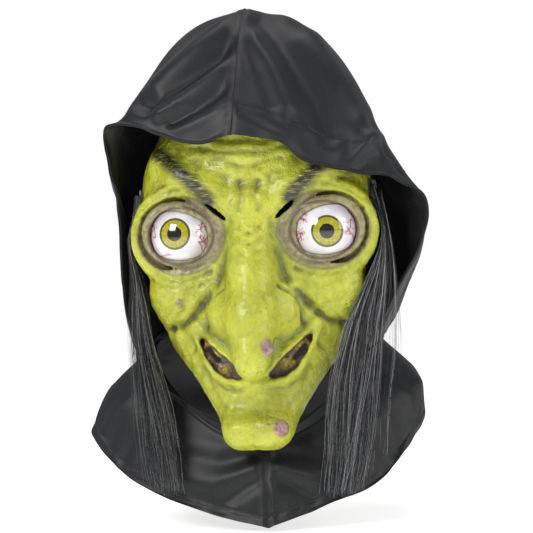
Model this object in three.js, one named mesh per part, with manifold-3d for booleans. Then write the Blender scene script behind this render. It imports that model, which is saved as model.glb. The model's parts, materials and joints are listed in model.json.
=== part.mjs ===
// A hooded latex witch mask: a cast latex face with two glued eye domes and two locks of synthetic
// hair, inside a loose satin hood that is sewn to a satin shoulder cape.
// Millimetres, +Z up, the mask faces -Y. The origin is the middle of the wearer's head at eye level.
import * as THREE from "three";
import { mergeVertices } from "three/addons/utils/BufferGeometryUtils.js";
import Module from "manifold-3d";

const wasm = await Module();
wasm.setup();

// ---- Driving dimensions ----
const gap = 0.4; // clearance between pieces that touch
const clothWall = 1.2; // satin with its seam allowance
const latexWall = 2.5;
const tapeWall = 1.0;

// Latex face
const faceWidth = 218; // across the temples
const foreheadY = -108; // front of the bare forehead
const faceTopZ = 140;
const chinZ = -192;
const noseTipY = -162;
const noseTipZ = -122;
const noseWidth = 62; // at the nostrils
const bridgeZ = 14;
const chinTipY = -140;
const eyeSpacing = 134; // between the pupils' middles
const eyeZ = 6.5;
const eyeBallRadius = 31;
const eyeFrontY = -113;
const eyeDomeDepth = 23; // from the front of the dome to its flat back
const mouthHalfWidth = 54;
const mouthCornerZ = -87;
const mouthDrop = 42; // from the corners to the middle of the smile
const breathSlitHeight = 12;
const sightSlitStart = 22; // from the middle of the face
const sightSlitLength = 20;
const sightSlitHeight = 10;
const sightSlitSlope = 0.85;

// Hood and cape
const crownRoom = 89; // the hood's apex above the latex
const apexZ = faceTopZ + crownRoom;
const hoodBackY = 122;
const brimHemWidth = 30;
const capeDropFront = -266; // lowest point of the hem, at the front seam
const capeDropBack = -250;
const capeHalfLeft = 176;
const capeHalfRight = 150;

// Hair
const hairTopZ = 38;
const hairClearance = 9; // from the widest part of the face to the middle of the lock's top
const hairTopY = -68;
const hairTopRadius = 5;
const hairTipZ = -240;
const padHeight = 56;
const padReach = 13; // how far the felt pad stands out from the latex

// The head that the cloth pattern below is drawn for. Another head stretches the pattern to fit.
const patternFaceWidth = 218;
const patternForeheadY = -108;
const patternChinZ = -192;
const patternApexZ = 229;
const cut = ([x, y, z]) => [
  (x * faceWidth) / patternFaceWidth,
  y < 0 ? (y * foreheadY) / patternForeheadY : y,
  z < 0 ? (z * chinZ) / patternChinZ : (z * apexZ) / patternApexZ,
];

const v3 = (p) => new THREE.Vector3(...p);
const clamp01 = (t) => Math.min(1, Math.max(0, t));

// ---- Curves and surfaces ----

// The point at t (0 to 1) on a smooth curve through the given points.
function through(points, t) {
  const last = points.length - 1;
  const at = clamp01(t) * last;
  const i = Math.min(last - 1, Math.floor(at));
  const f = at - i;
  const p1 = points[i];
  const p2 = points[i + 1];
  const p0 = points[Math.max(0, i - 1)];
  const p3 = points[Math.min(last, i + 2)];
  return p1.map((_, k) => {
    const m1 = (p2[k] - p0[k]) / 2;
    const m2 = (p3[k] - p1[k]) / 2;
    const d = p2[k] - p1[k];
    return p1[k] + f * (m1 + f * (3 * d - 2 * m1 - m2 + f * (m1 + m2 - 2 * d)));
  });
}

// A surface through a row of pattern curves: a runs across the curves, b runs along each one.
function skin(curves) {
  return (a, b) => v3(cut(through(curves.map((c) => through(c, b)), a)));
}

// The unit normal of a surface. side is 1 or -1 and turns it to face outwards.
function normalOf(surface, a, b, side) {
  const e = 1e-3;
  const da = surface(Math.min(1, a + e), b).sub(surface(Math.max(0, a - e), b));
  const db = surface(a, Math.min(1, b + e)).sub(surface(a, Math.max(0, b - e)));
  return da.cross(db).normalize().multiplyScalar(side);
}

// A closed solid between two offsets of a patch of a surface, low inside and high outside.
// trim may move the points of either face, to keep an edge in its own plane.
function slab({ surface, side, a, b, across, along, low, high, trim }) {
  const points = [];
  for (const level of [high, low])
    for (let i = 0; i <= across; i++)
      for (let j = 0; j <= along; j++) {
        const s = a[0] + ((a[1] - a[0]) * i) / across;
        const t = b[0] + ((b[1] - b[0]) * j) / along;
        const p = surface(s, t);
        const distance = level(i / across, j / along);
        const moved = p.clone().addScaledVector(normalOf(surface, s, t, side), distance);
        if (trim) trim(moved, p, i / across, j / along);
        points.push(moved);
      }
  const half = (across + 1) * (along + 1);
  const id = (i, j, level) => level * half + i * (along + 1) + j;
  const faces = [];
  const quad = (p, q, r, s) => faces.push(...(side > 0 ? [p, q, r, p, r, s] : [p, r, q, p, s, r]));
  for (let i = 0; i < across; i++)
    for (let j = 0; j < along; j++) {
      quad(id(i, j, 0), id(i + 1, j, 0), id(i + 1, j + 1, 0), id(i, j + 1, 0));
      quad(id(i, j, 1), id(i, j + 1, 1), id(i + 1, j + 1, 1), id(i + 1, j, 1));
    }
  for (let i = 0; i < across; i++) {
    quad(id(i, 0, 0), id(i, 0, 1), id(i + 1, 0, 1), id(i + 1, 0, 0));
    quad(id(i, along, 0), id(i + 1, along, 0), id(i + 1, along, 1), id(i, along, 1));
  }
  for (let j = 0; j < along; j++) {
    quad(id(0, j, 0), id(0, j + 1, 0), id(0, j + 1, 1), id(0, j, 1));
    quad(id(across, j, 0), id(across, j, 1), id(across, j + 1, 1), id(across, j + 1, 0));
  }
  return bufferOf(points.flatMap((p) => p.toArray()), faces);
}

function bufferOf(positions, faces) {
  const g = new THREE.BufferGeometry();
  g.setAttribute("position", new THREE.BufferAttribute(new Float32Array(positions), 3));
  g.setIndex(new THREE.BufferAttribute(new Uint32Array(faces), 1));
  return g;
}

function solidOf(geometry) {
  const bare = geometry.clone();
  bare.deleteAttribute("normal");
  bare.deleteAttribute("uv");
  const merged = mergeVertices(bare, 1e-3);
  return new wasm.Manifold(
    new wasm.Mesh({
      numProp: 3,
      vertProperties: merged.attributes.position.array,
      triVerts: new Uint32Array(merged.index.array),
    }),
  );
}

function geometryOf(solid) {
  const m = solid.getMesh();
  return bufferOf(m.vertProperties, m.triVerts);
}

// ---- Materials ----
function material(color, roughness, metalness = 0) {
  return new THREE.MeshStandardMaterial({ color, roughness, metalness });
}
const greenLatex = () => material(0xb7be34, 0.5);
const eyeGloss = () => material(0xdcd9de, 0.12);
const blackSatin = () => material(0x2e2f33, 0.42);
const blackTape = () => material(0x1d1d1f, 0.85);
const greyFelt = () => material(0x6e6f70, 0.95);
const greyHair = () => material(0x77797c, 0.5);

const mask = new THREE.Group();

function addMesh(name, geometry, look, parent = mask) {
  const mesh = new THREE.Mesh(geometry, look);
  mesh.name = name;
  geometry.computeVertexNormals();
  parent.add(mesh);
  return mesh;
}

// ---- Latex face ----

const halfFace = faceWidth / 2;
const patternFaceTopZ = 140;

// Each station of the plain face is a height, half width, front Y and rim Y, in pattern sizes.
const faceStations = [
  [140, 63, -68, -22],
  [112, 85, -96, -24],
  [80, 99, -108, -27],
  [44, 107, -108, -30],
  [6, 109, -104, -30],
  [-35, 105, -105, -32],
  [-68, 96, -108, -36],
  [-104, 76, -112, -48],
  [-140, 53, -116, -62],
  [-172, 31, -120, -97],
  [-189, 23, -118, -110],
  [-184, 19, -116, -113],
].map(([z, half, front, rim]) => [
  z < 0 ? (z * chinZ) / patternChinZ : (z * faceTopZ) / patternFaceTopZ,
  (half * faceWidth) / patternFaceWidth,
  (front * foreheadY) / patternForeheadY,
  (rim * foreheadY) / patternForeheadY,
]);

// Facets of the latex face, which the strips glued on it follow.
const faceColumns = 28;
const faceRows = 32;

// A smooth hump of unit height with the given half widths.
function hump(x, z, cx, cz, wide, tall) {
  const d = ((x - cx) / wide) ** 2 + ((z - cz) / tall) ** 2;
  return Math.exp(-d);
}

const noseHeight = foreheadY - 4 - noseTipY;

// How far the nose stands out of the face at x, z.
function nose(x, z) {
  const down = clamp01((bridgeZ - z) / (bridgeZ - noseTipZ));
  const under = clamp01((noseTipZ - z) / 9);
  const half = 13 + (noseWidth / 2 - 13) * down;
  const across = clamp01(1 - Math.abs(x) / half);
  const above = z > bridgeZ ? Math.exp(-(((z - bridgeZ) / 16) ** 2)) : 1;
  const ridge = (7 + (noseHeight - 7) * down ** 1.25) * above;
  return ridge * Math.sin((across * Math.PI) / 2) ** 1.3 * (1 - under);
}

// All the sculpted relief of the face, measured forwards.
function relief(x, z) {
  const ax = Math.abs(x);
  const lidRing = Math.hypot(ax - eyeSpacing / 2, z - eyeZ) - (eyeBallRadius + 5);
  return (
    nose(x, z) +
    12 * hump(ax, z, noseWidth / 2 - 2, noseTipZ + 46, 13, 15) +
    9 * hump(ax, z, eyeSpacing / 2 - 14, eyeZ + 44, 30, 13) +
    9 * Math.exp(-((lidRing / 7) ** 2)) +
    8 * hump(ax, z, eyeSpacing / 2 + 4, eyeZ - 58, 24, 20) +
    7 * hump(x, z, 0, mouthCornerZ - mouthDrop - 14, 44, 12) +
    (foreheadY - 12 - chinTipY) * hump(ax, z, 11, chinZ + 14, 17, 15)
  );
}

// s runs from the right temple (0) to the left temple (1), t from the forehead down to the chin.
function faceSurface(s, t) {
  const [z, half, front, rim] = through(faceStations, t);
  const turn = (s - 0.5) * Math.PI;
  const x = -half * Math.sin(turn);
  const y = rim + (front - rim) * Math.max(0, Math.cos(turn)) ** 0.8;
  return new THREE.Vector3(x, y - relief(x, z) * clamp01(Math.cos(turn) * 2.4 - 0.3), z);
}
const faceSide = 1;

// A straight cutter along Y with the outline given in X and Z.
function cutter(points) {
  const outline = new THREE.Shape(points.map(([x, z]) => new THREE.Vector2(x, z)));
  const g = new THREE.ExtrudeGeometry(outline, { depth: 150, bevelEnabled: false, steps: 1 });
  g.rotateX(Math.PI / 2);
  return solidOf(g);
}

// A slot with round ends that follows the line z(x), on one side, inner to outer from the middle.
function slotOn(hand, inner, outer, height, line) {
  const steps = 8;
  const x0 = hand > 0 ? inner : -outer;
  const at = (k) => x0 + ((outer - inner) * k) / steps;
  const taper = (k) => (height / 2) * Math.sin((Math.PI * (k + 0.6)) / (steps + 1.2)) ** 0.5;
  const upper = Array.from({ length: steps + 1 }, (_, k) => [at(k), line(at(k)) + taper(k)]);
  const lower = Array.from({ length: steps + 1 }, (_, k) => [at(k), line(at(k)) - taper(k)]);
  return cutter([...lower, ...upper.reverse()]);
}

// The smile, and the gap between brow and eye that the wearer looks through.
const smileLine = (x) => mouthCornerZ - mouthDrop * (1 - (x / mouthHalfWidth) ** 2);
const sightLine = (x) => eyeZ + 12 + (Math.abs(x) - sightSlitStart) * sightSlitSlope;

function latexFace() {
  const cast = slab({
    surface: faceSurface,
    side: faceSide,
    a: [0, 1],
    b: [0, 1],
    across: faceColumns,
    along: faceRows,
    low: () => -latexWall,
    high: () => 0,
  });
  let face = solidOf(cast);
  for (const hand of [-1, 1]) {
    const eyeX = (hand * eyeSpacing) / 2;
    const rim = Array.from({ length: 24 }, (_, k) => {
      const turn = (k / 24) * 2 * Math.PI;
      const r = eyeBallRadius + gap;
      return [eyeX + r * Math.cos(turn), eyeZ + r * Math.sin(turn)];
    });
    face = face.subtract(cutter(rim));
    face = face.subtract(slotOn(hand, noseWidth / 2 + 2, mouthHalfWidth - 2, breathSlitHeight, smileLine));
    const sightSlitEnd = sightSlitStart + sightSlitLength;
    face = face.subtract(slotOn(hand, sightSlitStart, sightSlitEnd, sightSlitHeight, sightLine));
  }
  return geometryOf(face);
}
addMesh("latex_face", latexFace(), greenLatex());

// Each eye is a dome of a ball with a flat back, pushed through a round hole of the face.
for (const [name, hand] of [
  ["left_eye_dome", -1],
  ["right_eye_dome", 1],
]) {
  const edge = Math.acos(1 - eyeDomeDepth / eyeBallRadius);
  const steps = 7;
  const profile = [new THREE.Vector2(0, -eyeDomeDepth)];
  for (let k = steps; k >= 0; k--) {
    const turn = (edge * k) / steps;
    const r = k === 0 ? 0 : eyeBallRadius * Math.sin(turn);
    profile.push(new THREE.Vector2(r, eyeBallRadius * (Math.cos(turn) - 1)));
  }
  const dome = addMesh(name, new THREE.LatheGeometry(profile, 20), eyeGloss());
  dome.rotation.z = Math.PI;
  dome.position.set((hand * eyeSpacing) / 2, eyeFrontY, eyeZ);
}

// ---- Hood ----

// The neck seam, from the throat round to the nape, on each side.
const brimCentre = [-12, -132, 97];
const throat = [5, -97, -191];
const nape = [0, 87, -87];
const neckRight = [throat, [52, -82, -173], [92, -55, -135], [108, 0, -99], [78, 57, -91], nape];
const neckLeft = [throat, [-46, -84, -174], [-94, -57, -133], [-112, 0, -97], [-80, 57, -91], nape];

// The centre seam, from the brim over the crown to the back of the head, and down to the nape.
const crownSeam = [
  brimCentre,
  [-9, brimCentre[1] + 12, brimCentre[2] + brimHemWidth + 8],
  [-8, -60, patternApexZ - 23],
  [-9, 5, patternApexZ],
  [-6, 72, patternApexZ - 26],
  [0, hoodBackY - 10, patternApexZ - 79],
];
const backSeam = [crownSeam[5], [0, hoodBackY, 70], [0, hoodBackY - 8, 0], [0, hoodBackY - 24, -50], nape];

// Each hoop runs from the centre seam down one side to the neck seam. The first is the free edge
// of the hood and the last is the back seam.
const hoopsRight = [
  [
    crownSeam[0],
    [30, -130, 89],
    [54, -124, 71],
    [93, -110, 60],
    [133, -98, 53],
    [163, -85, 32],
    [158, -80, -4],
    [134, -76, -48],
    [108, -74, -92],
    [80, -84, -138],
    neckRight[0],
  ],
  [
    crownSeam[1],
    [38, -113, 122],
    [80, -100, 106],
    [122, -84, 88],
    [152, -68, 44],
    [153, -60, 0],
    [136, -56, -46],
    [112, -54, -96],
    neckRight[1],
  ],
  [
    crownSeam[2],
    [44, -57, 193],
    [86, -44, 161],
    [112, -36, 120],
    [132, -34, 66],
    [134, -32, 8],
    [122, -28, -46],
    [108, -34, -96],
    neckRight[2],
  ],
  [
    crownSeam[3],
    [32, 5, 218],
    [62, 4, 197],
    [86, 3, 167],
    [106, 3, 124],
    [117, 4, 62],
    [117, 4, 0],
    [112, 4, -56],
    neckRight[3],
  ],
  [
    crownSeam[4],
    [32, 72, 190],
    [64, 70, 160],
    [88, 65, 112],
    [98, 61, 50],
    [96, 60, -10],
    [86, 58, -56],
    neckRight[4],
  ],
  backSeam,
];
const hoopsLeft = [
  [
    crownSeam[0],
    [-47, -126, 91],
    [-81, -115, 102],
    [-104, -105, 111],
    [-137, -86, 114],
    [-137, -84, 84],
    [-131, -79, 44],
    [-130, -75, -2],
    [-129, -72, -54],
    [-112, -74, -104],
    [-78, -85, -146],
    neckLeft[0],
  ],
  [
    crownSeam[1],
    [-50, -112, 135],
    [-88, -98, 137],
    [-119, -76, 126],
    [-129, -66, 92],
    [-129, -58, 40],
    [-128, -55, -12],
    [-125, -53, -60],
    [-112, -56, -106],
    neckLeft[1],
  ],
  [
    crownSeam[2],
    [-52, -56, 199],
    [-92, -43, 175],
    [-111, -36, 144],
    [-122, -34, 96],
    [-124, -32, 38],
    [-124, -30, -24],
    [-114, -38, -94],
    neckLeft[2],
  ],
  [
    crownSeam[3],
    [-42, 5, 221],
    [-68, 4, 206],
    [-95, 3, 177],
    [-109, 3, 136],
    [-117, 4, 72],
    [-120, 4, 2],
    [-116, 4, -54],
    neckLeft[3],
  ],
  [
    crownSeam[4],
    [-36, 72, 192],
    [-68, 70, 162],
    [-90, 66, 114],
    [-99, 62, 52],
    [-98, 60, -8],
    [-90, 58, -56],
    neckLeft[4],
  ],
  backSeam,
];

// Facets of a hood panel, which its hem follows.
const hoodAcross = 18;
const hoodAlong = 24;
const hemFacets = 4; // the first hoop interval and a little more is the hem's width
const tapeStart = 4; // facets of the neck edge left free at the throat
const hemStop = 3; // facets left free above the throat

// Keeps the seam edges in the middle plane and the neck edge at its own height.
function hoodTrim(hand) {
  return (moved, p, a, b) => {
    const atThroat = a === 0 && b === 1;
    if (b === 0 || a === 1 || atThroat) moved.x = p.x + (hand * gap) / 2;
    if (b === 1) moved.z = p.z;
  };
}

function addHoodSide(name, hoops, hand) {
  const surface = skin(hoops);
  const side = -hand;
  addMesh(
    name + "_hood_panel",
    slab({
      surface,
      side,
      a: [0, 1],
      b: [0, 1],
      across: hoodAcross,
      along: hoodAlong,
      low: () => -clothWall,
      high: () => 0,
      trim: hoodTrim(hand),
    }),
    blackSatin(),
  );
  // The turned-back hem lies against the inside of the free edge.
  addMesh(
    name + "_brim_hem",
    slab({
      surface,
      side,
      a: [0, hemFacets / hoodAcross],
      b: [1 / hoodAlong, 1 - hemStop / hoodAlong],
      across: hemFacets,
      along: hoodAlong - 1 - hemStop,
      low: () => -clothWall - gap - tapeWall,
      high: () => -clothWall - gap,
    }),
    blackTape(),
  );
  // A tape covers the neck seam on the inside of the hood.
  addMesh(
    name + "_neck_seam_tape",
    slab({
      surface,
      side,
      a: [tapeStart / hoodAcross, 1 - 1 / hoodAcross],
      b: [1 - 1 / hoodAlong, 1 - 0.2 / hoodAlong],
      across: hoodAcross - tapeStart - 1,
      along: 1,
      low: () => -clothWall - gap - tapeWall,
      high: () => -clothWall - gap,
    }),
    blackTape(),
  );
}
addHoodSide("right", hoopsRight, 1);
addHoodSide("left", hoopsLeft, -1);

// ---- Cape ----

// Each column runs from the neck seam over the shoulder to the hem, front seam first.
const underSeam = (p) => [p[0], p[1], p[2] - 2 * gap];
const frontSeam = [underSeam(throat), [5, -109, -228], [6, -118, capeDropFront]];
const centreBack = [underSeam(nape), [0, 110, -150], [0, 122, capeDropBack]];
const columnsRight = [
  frontSeam,
  [underSeam(neckRight[1]), [58, -98, -212], [62, -106, capeDropFront + 19]],
  [underSeam(neckRight[2]), [110, -68, -172], [114, -76, capeDropFront + 42]],
  [underSeam(neckRight[3]), [capeHalfRight - 4, -8, -137], [capeHalfRight, -12, capeDropFront + 91]],
  [underSeam(neckRight[4]), [110, 74, -132], [120, 84, capeDropBack + 44]],
  centreBack,
];
const columnsLeft = [
  frontSeam,
  [underSeam(neckLeft[1]), [-52, -98, -214], [-62, -102, capeDropFront + 17]],
  [underSeam(neckLeft[2]), [-118, -66, -168], [-136, -64, capeDropFront + 47]],
  [underSeam(neckLeft[3]), [18 - capeHalfLeft, -8, -136], [-capeHalfLeft, -14, capeDropFront + 88]],
  [underSeam(neckLeft[4]), [-118, 74, -130], [-128, 84, capeDropBack + 42]],
  centreBack,
];

function addCapeSide(name, columns, hand) {
  addMesh(
    name + "_cape_panel",
    slab({
      surface: skin(columns),
      side: -hand,
      a: [0, 1],
      b: [0, 1],
      across: 20,
      along: 10,
      low: () => -clothWall,
      high: () => 0,
      trim: (moved, p, a, b) => {
        if (a === 0 || a === 1) moved.x = p.x + (hand * gap) / 2;
        if (b === 0) moved.z = Math.min(moved.z, p.z);
      },
    }),
    blackSatin(),
  );
}
addCapeSide("right", columnsRight, 1);
addCapeSide("left", columnsLeft, -1);

// ---- Joining tapes, felt pads and hair ----

// The row of facets of the face that lies nearest to a height.
function faceRow(z) {
  let low = 0;
  let high = 0.9;
  for (let k = 0; k < 30; k++) {
    const middle = (low + high) / 2;
    if (through(faceStations, middle)[0] > z) low = middle;
    else high = middle;
  }
  return Math.round(low * faceRows);
}

// A strip glued on the outside of the latex. columns are counted from that side's rim, and may be
// part of a facet, and z gives the lowest and highest height.
function onLatex(name, hand, columns, z, high, look) {
  const place = (column) => (hand > 0 ? column : faceColumns - column) / faceColumns;
  const rows = [faceRow(z[1]), faceRow(z[0])];
  addMesh(
    name,
    slab({
      surface: faceSurface,
      side: faceSide,
      a: columns.map(place).sort((p, q) => p - q),
      b: rows.map((row) => row / faceRows),
      across: Math.max(1, Math.floor(columns[1] - columns[0])),
      along: rows[1] - rows[0],
      low: () => gap,
      high,
    }),
    look,
  );
}

const flatTape = () => gap + tapeWall;
onLatex("forehead_join_tape", 1, [4, faceColumns - 4], [faceTopZ - 14, faceTopZ], flatTape, blackTape());

const padMiddleZ = eyeZ + 21;
const padZ = [padMiddleZ - padHeight / 2, padMiddleZ + padHeight / 2];

function addHairSide(name, hand, path, halfWidths) {
  onLatex(name + "_join_tape", hand, [0.15, 0.85], [chinZ + 60, faceTopZ - 30], flatTape, blackTape());
  const bulge = (s, t) => gap + 2 + (padReach - 2) * Math.sin(Math.PI * t) ** 0.7;
  onLatex(name + "_felt_pad", hand, [1.05, 1.85], padZ, bulge, greyFelt());
  onLatex(name + "_hair_weft", hand, [2.1, 2.9], padZ, () => gap + 2 * tapeWall, blackTape());

  // The lock is a flat tapered bundle. It turns on its rounded top end.
  const pivot = new THREE.Group();
  pivot.position.set(...path[0]);
  const rings = 22;
  const sides = 12;
  const points = [];
  for (let i = 0; i <= rings; i++) {
    const t = i / rings;
    const centre = v3(through(path, t)).sub(pivot.position);
    const half = through(halfWidths, t);
    for (let k = 0; k < sides; k++) {
      const turn = (k / sides) * 2 * Math.PI;
      points.push(centre.x + half[0] * Math.cos(turn), centre.y + half[1] * Math.sin(turn), centre.z);
    }
  }
  const capRings = 3;
  const top = points.length / 3;
  for (let i = 1; i <= capRings; i++) {
    const lift = (i / (capRings + 0.3)) * (Math.PI / 2);
    for (let k = 0; k < sides; k++) {
      const turn = (k / sides) * 2 * Math.PI;
      points.push(
        halfWidths[0][0] * Math.cos(lift) * Math.cos(turn),
        halfWidths[0][1] * Math.cos(lift) * Math.sin(turn),
        hairTopRadius * Math.sin(lift),
      );
    }
  }
  const crown = points.length / 3;
  points.push(0, 0, hairTopRadius);
  const tip = points.length / 3;
  points.push(...v3(path.at(-1)).sub(pivot.position).toArray());
  points[points.length - 1] -= 3;
  const faces = [];
  const ringStart = [];
  for (let i = capRings; i >= 1; i--) ringStart.push(top + (i - 1) * sides);
  for (let i = 0; i <= rings; i++) ringStart.push(i * sides);
  for (let k = 0; k < sides; k++) {
    const n = (k + 1) % sides;
    faces.push(crown, ringStart[0] + k, ringStart[0] + n);
    for (let r = 0; r + 1 < ringStart.length; r++) {
      const [u, w] = [ringStart[r], ringStart[r + 1]];
      faces.push(u + k, w + k, w + n, u + k, w + n, u + n);
    }
    const end = ringStart.at(-1);
    faces.push(tip, end + n, end + k);
  }
  mask.add(pivot);
  addMesh(name + "_hair_lock", bufferOf(points, faces), greyHair(), pivot);
}

addHairSide(
  "right",
  1,
  [
    [halfFace + hairClearance, hairTopY, hairTopZ],
    cut([114, -80, -22]),
    cut([101, -97, -88]),
    cut([90, -104, -150]),
    cut([85, -107, -200]),
    cut([79, -114, hairTipZ]),
  ],
  [
    [6.5, hairTopRadius],
    [10, 6],
    [18, 7],
    [20, 6],
    [18, 5],
    [9, 3],
  ],
);
addHairSide(
  "left",
  -1,
  [
    [1 - halfFace - hairClearance, hairTopY, hairTopZ],
    cut([-113, -78, -22]),
    cut([-108, -94, -85]),
    cut([-100, -101, -140]),
    cut([-94, -103, -190]),
    cut([-89, -106, hairTipZ + 6]),
  ],
  [
    [5.5, hairTopRadius],
    [6, 6],
    [12, 7],
    [15, 6],
    [12, 5],
    [7, 3],
  ],
);

export default mask;
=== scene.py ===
"""A hooded latex witch mask: green cast latex face, glossy eye domes, black satin hood and shoulder
cape, and grey synthetic hair. Work is in millimetres, and a mesh is turned into metres as it is made."""
import copy
import json
import math

import bpy
import numpy as np
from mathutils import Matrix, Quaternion, Vector, noise
from mathutils.bvhtree import BVHTree


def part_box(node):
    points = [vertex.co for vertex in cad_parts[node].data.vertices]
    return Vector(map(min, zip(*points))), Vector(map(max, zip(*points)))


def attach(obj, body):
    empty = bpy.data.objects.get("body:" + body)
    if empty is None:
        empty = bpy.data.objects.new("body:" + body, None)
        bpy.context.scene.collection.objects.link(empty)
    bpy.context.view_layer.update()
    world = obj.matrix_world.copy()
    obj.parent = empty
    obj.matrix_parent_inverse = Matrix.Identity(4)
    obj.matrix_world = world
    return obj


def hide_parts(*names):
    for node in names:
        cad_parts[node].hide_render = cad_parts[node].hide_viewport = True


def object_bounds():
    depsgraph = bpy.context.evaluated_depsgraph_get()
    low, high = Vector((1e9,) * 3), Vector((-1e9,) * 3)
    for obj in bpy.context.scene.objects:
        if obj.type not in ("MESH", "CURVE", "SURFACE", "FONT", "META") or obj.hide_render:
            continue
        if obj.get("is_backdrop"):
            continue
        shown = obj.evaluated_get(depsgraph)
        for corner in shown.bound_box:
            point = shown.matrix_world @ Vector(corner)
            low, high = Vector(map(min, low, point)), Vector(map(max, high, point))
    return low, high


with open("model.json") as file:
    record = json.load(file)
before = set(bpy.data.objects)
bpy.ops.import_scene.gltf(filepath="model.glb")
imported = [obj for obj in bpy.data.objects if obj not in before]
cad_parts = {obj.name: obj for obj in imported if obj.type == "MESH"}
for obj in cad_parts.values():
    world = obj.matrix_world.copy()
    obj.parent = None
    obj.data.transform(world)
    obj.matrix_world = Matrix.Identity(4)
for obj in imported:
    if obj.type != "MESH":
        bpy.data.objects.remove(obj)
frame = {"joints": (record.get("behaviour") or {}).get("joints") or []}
cad_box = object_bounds()
MM = 0.001


def box_mm(name):
    """The low and high corners of a CAD node, in millimetres."""
    low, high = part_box(name)
    return np.array(low) / MM, np.array(high) / MM


# ---------------------------------------------------------------------------
# Studio. A pale round floor and a white room under soft white light, seen through
# a long lens from just right of the mask's own front, with the mask leaning a little.
# ---------------------------------------------------------------------------
CAMERA_AZIMUTH = math.radians(6.6)
CAMERA_ROLL = math.radians(2.4)
CAMERA_DISTANCE = 1.9
PICTURE_WIDTH = 0.5064  # what the picture takes in at the depth of the hood's edge
HOOD_EDGE_Y = -0.06
LOOK_AT = Vector((0.0008, 0.0, -0.0253))
FLOOR_DROP = 0.004  # the loosest threads of the hem stay clear of the floor
FLOOR_Z = cad_box[0][2] - FLOOR_DROP

toward_camera = Vector((math.sin(CAMERA_AZIMUTH), -math.cos(CAMERA_AZIMUTH), 0.0))
camera = bpy.data.objects.new("camera", bpy.data.cameras.new("camera"))
bpy.context.scene.collection.objects.link(camera)
bpy.context.scene.camera = camera
camera.location = LOOK_AT + toward_camera * CAMERA_DISTANCE
upright = toward_camera.to_track_quat("Z", "Y")
camera.rotation_mode = "QUATERNION"
camera.rotation_quaternion = Quaternion(toward_camera, -CAMERA_ROLL) @ upright
camera.data.sensor_width = 36.0
camera.data.lens = 36.0 * (CAMERA_DISTANCE + HOOD_EDGE_Y) / PICTURE_WIDTH


def linear(hex_colour):
    """An sRGB colour such as "#B7BE34" as linear red, green, blue and alpha."""
    parts = [int(hex_colour[i : i + 2], 16) / 255 for i in (1, 3, 5)]
    return [p / 12.92 if p <= 0.04045 else ((p + 0.055) / 1.055) ** 2.4 for p in parts] + [1.0]


def add_node(tree, kind, links=(), **settings):
    """A new shader or geometry node. settings are its properties, or its inputs by name."""
    made = tree.nodes.new(kind)
    for name, value in settings.items():
        if name in made.bl_rna.properties:
            setattr(made, name, value)
        else:
            made.inputs[name.replace("_", " ")].default_value = value
    for socket, source in links:
        tree.links.new(source, made.inputs[socket])
    return made


def new_material(name, **settings):
    """A material with one Principled shader, and the shader's node tree."""
    material = bpy.data.materials.new(name)
    material.use_nodes = True
    shader = material.node_tree.nodes["Principled BSDF"]
    for key, value in settings.items():
        shader.inputs[key.replace("_", " ")].default_value = value
    return material, material.node_tree, shader


def make_object(name, points_mm, faces, material, smooth=True):
    """A mesh object from points in millimetres, with its normals facing out."""
    mesh = bpy.data.meshes.new(name)
    mesh.from_pydata((np.asarray(points_mm) * MM).tolist(), [], np.asarray(faces).tolist())
    mesh.materials.append(material)
    mesh.polygons.foreach_set("use_smooth", [smooth] * len(mesh.polygons))
    mesh.update()
    made = bpy.data.objects.new(name, mesh)
    bpy.context.scene.collection.objects.link(made)
    return made


def store(obj, name, values, kind="FLOAT"):
    """Writes one value for each vertex of a mesh as a named attribute."""
    layer = obj.data.attributes.new(name, kind, "POINT")
    key = {"FLOAT": "value", "FLOAT_COLOR": "color", "FLOAT_VECTOR": "vector"}[kind]
    layer.data.foreach_set(key, np.asarray(values, dtype=np.float32).ravel())


# Matt paper, lit so evenly that only the mask's soft shadow shows on it.
backdrop_material, tree, shader = new_material("matt white paper", Roughness=0.9)
shader.inputs["Base Color"].default_value = linear("#F7F7F6")
shader.inputs["Emission Color"].default_value = (1, 1, 1, 1)
shader.inputs["Emission Strength"].default_value = 0.7
FLOOR_RADIUS, FLOOR_SIDES = 6000, 96
floor_points = [(0, 0, FLOOR_Z / MM)]
for k in range(FLOOR_SIDES):
    turn = 2 * math.pi * k / FLOOR_SIDES
    floor_points.append((FLOOR_RADIUS * math.cos(turn), FLOOR_RADIUS * math.sin(turn), FLOOR_Z / MM))
floor_faces = [(0, 1 + k, 1 + (k + 1) % FLOOR_SIDES) for k in range(FLOOR_SIDES)]
make_object("paper_floor", floor_points, floor_faces, backdrop_material, smooth=False)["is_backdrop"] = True


def softbox(name, place, size, power):
    """A square white area light that faces the mask."""
    data = bpy.data.lights.new(name, "AREA")
    data.energy = power
    data.size = size
    lamp = bpy.data.objects.new(name, data)
    lamp.location = place
    lamp.rotation_euler = (Vector(place) - LOOK_AT).to_track_quat("Z", "Y").to_euler()
    bpy.context.scene.collection.objects.link(lamp)


softbox("key_softbox", (-1.1, -1.7, 1.1), 0.8, 33)
softbox("fill_softbox", (2.0, -0.7, 0.6), 1.2, 18)
softbox("top_softbox", (0.0, 0.1, 2.0), 1.4, 15)
world = bpy.data.worlds.new("studio")
bpy.context.scene.world = world
world.use_nodes = True
ROOM_LIGHT, BACKGROUND = 0.30, 1.0
tree = world.node_tree
seen = add_node(tree, "ShaderNodeLightPath").outputs["Is Camera Ray"]
glow = add_node(tree, "ShaderNodeMapRange", [("Value", seen)], To_Min=ROOM_LIGHT, To_Max=BACKGROUND)
tree.nodes["Background"].inputs["Color"].default_value = (1, 1, 1, 1)
tree.links.new(glow.outputs[0], tree.nodes["Background"].inputs["Strength"])
bpy.context.scene.view_settings.view_transform = "Standard"


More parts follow.
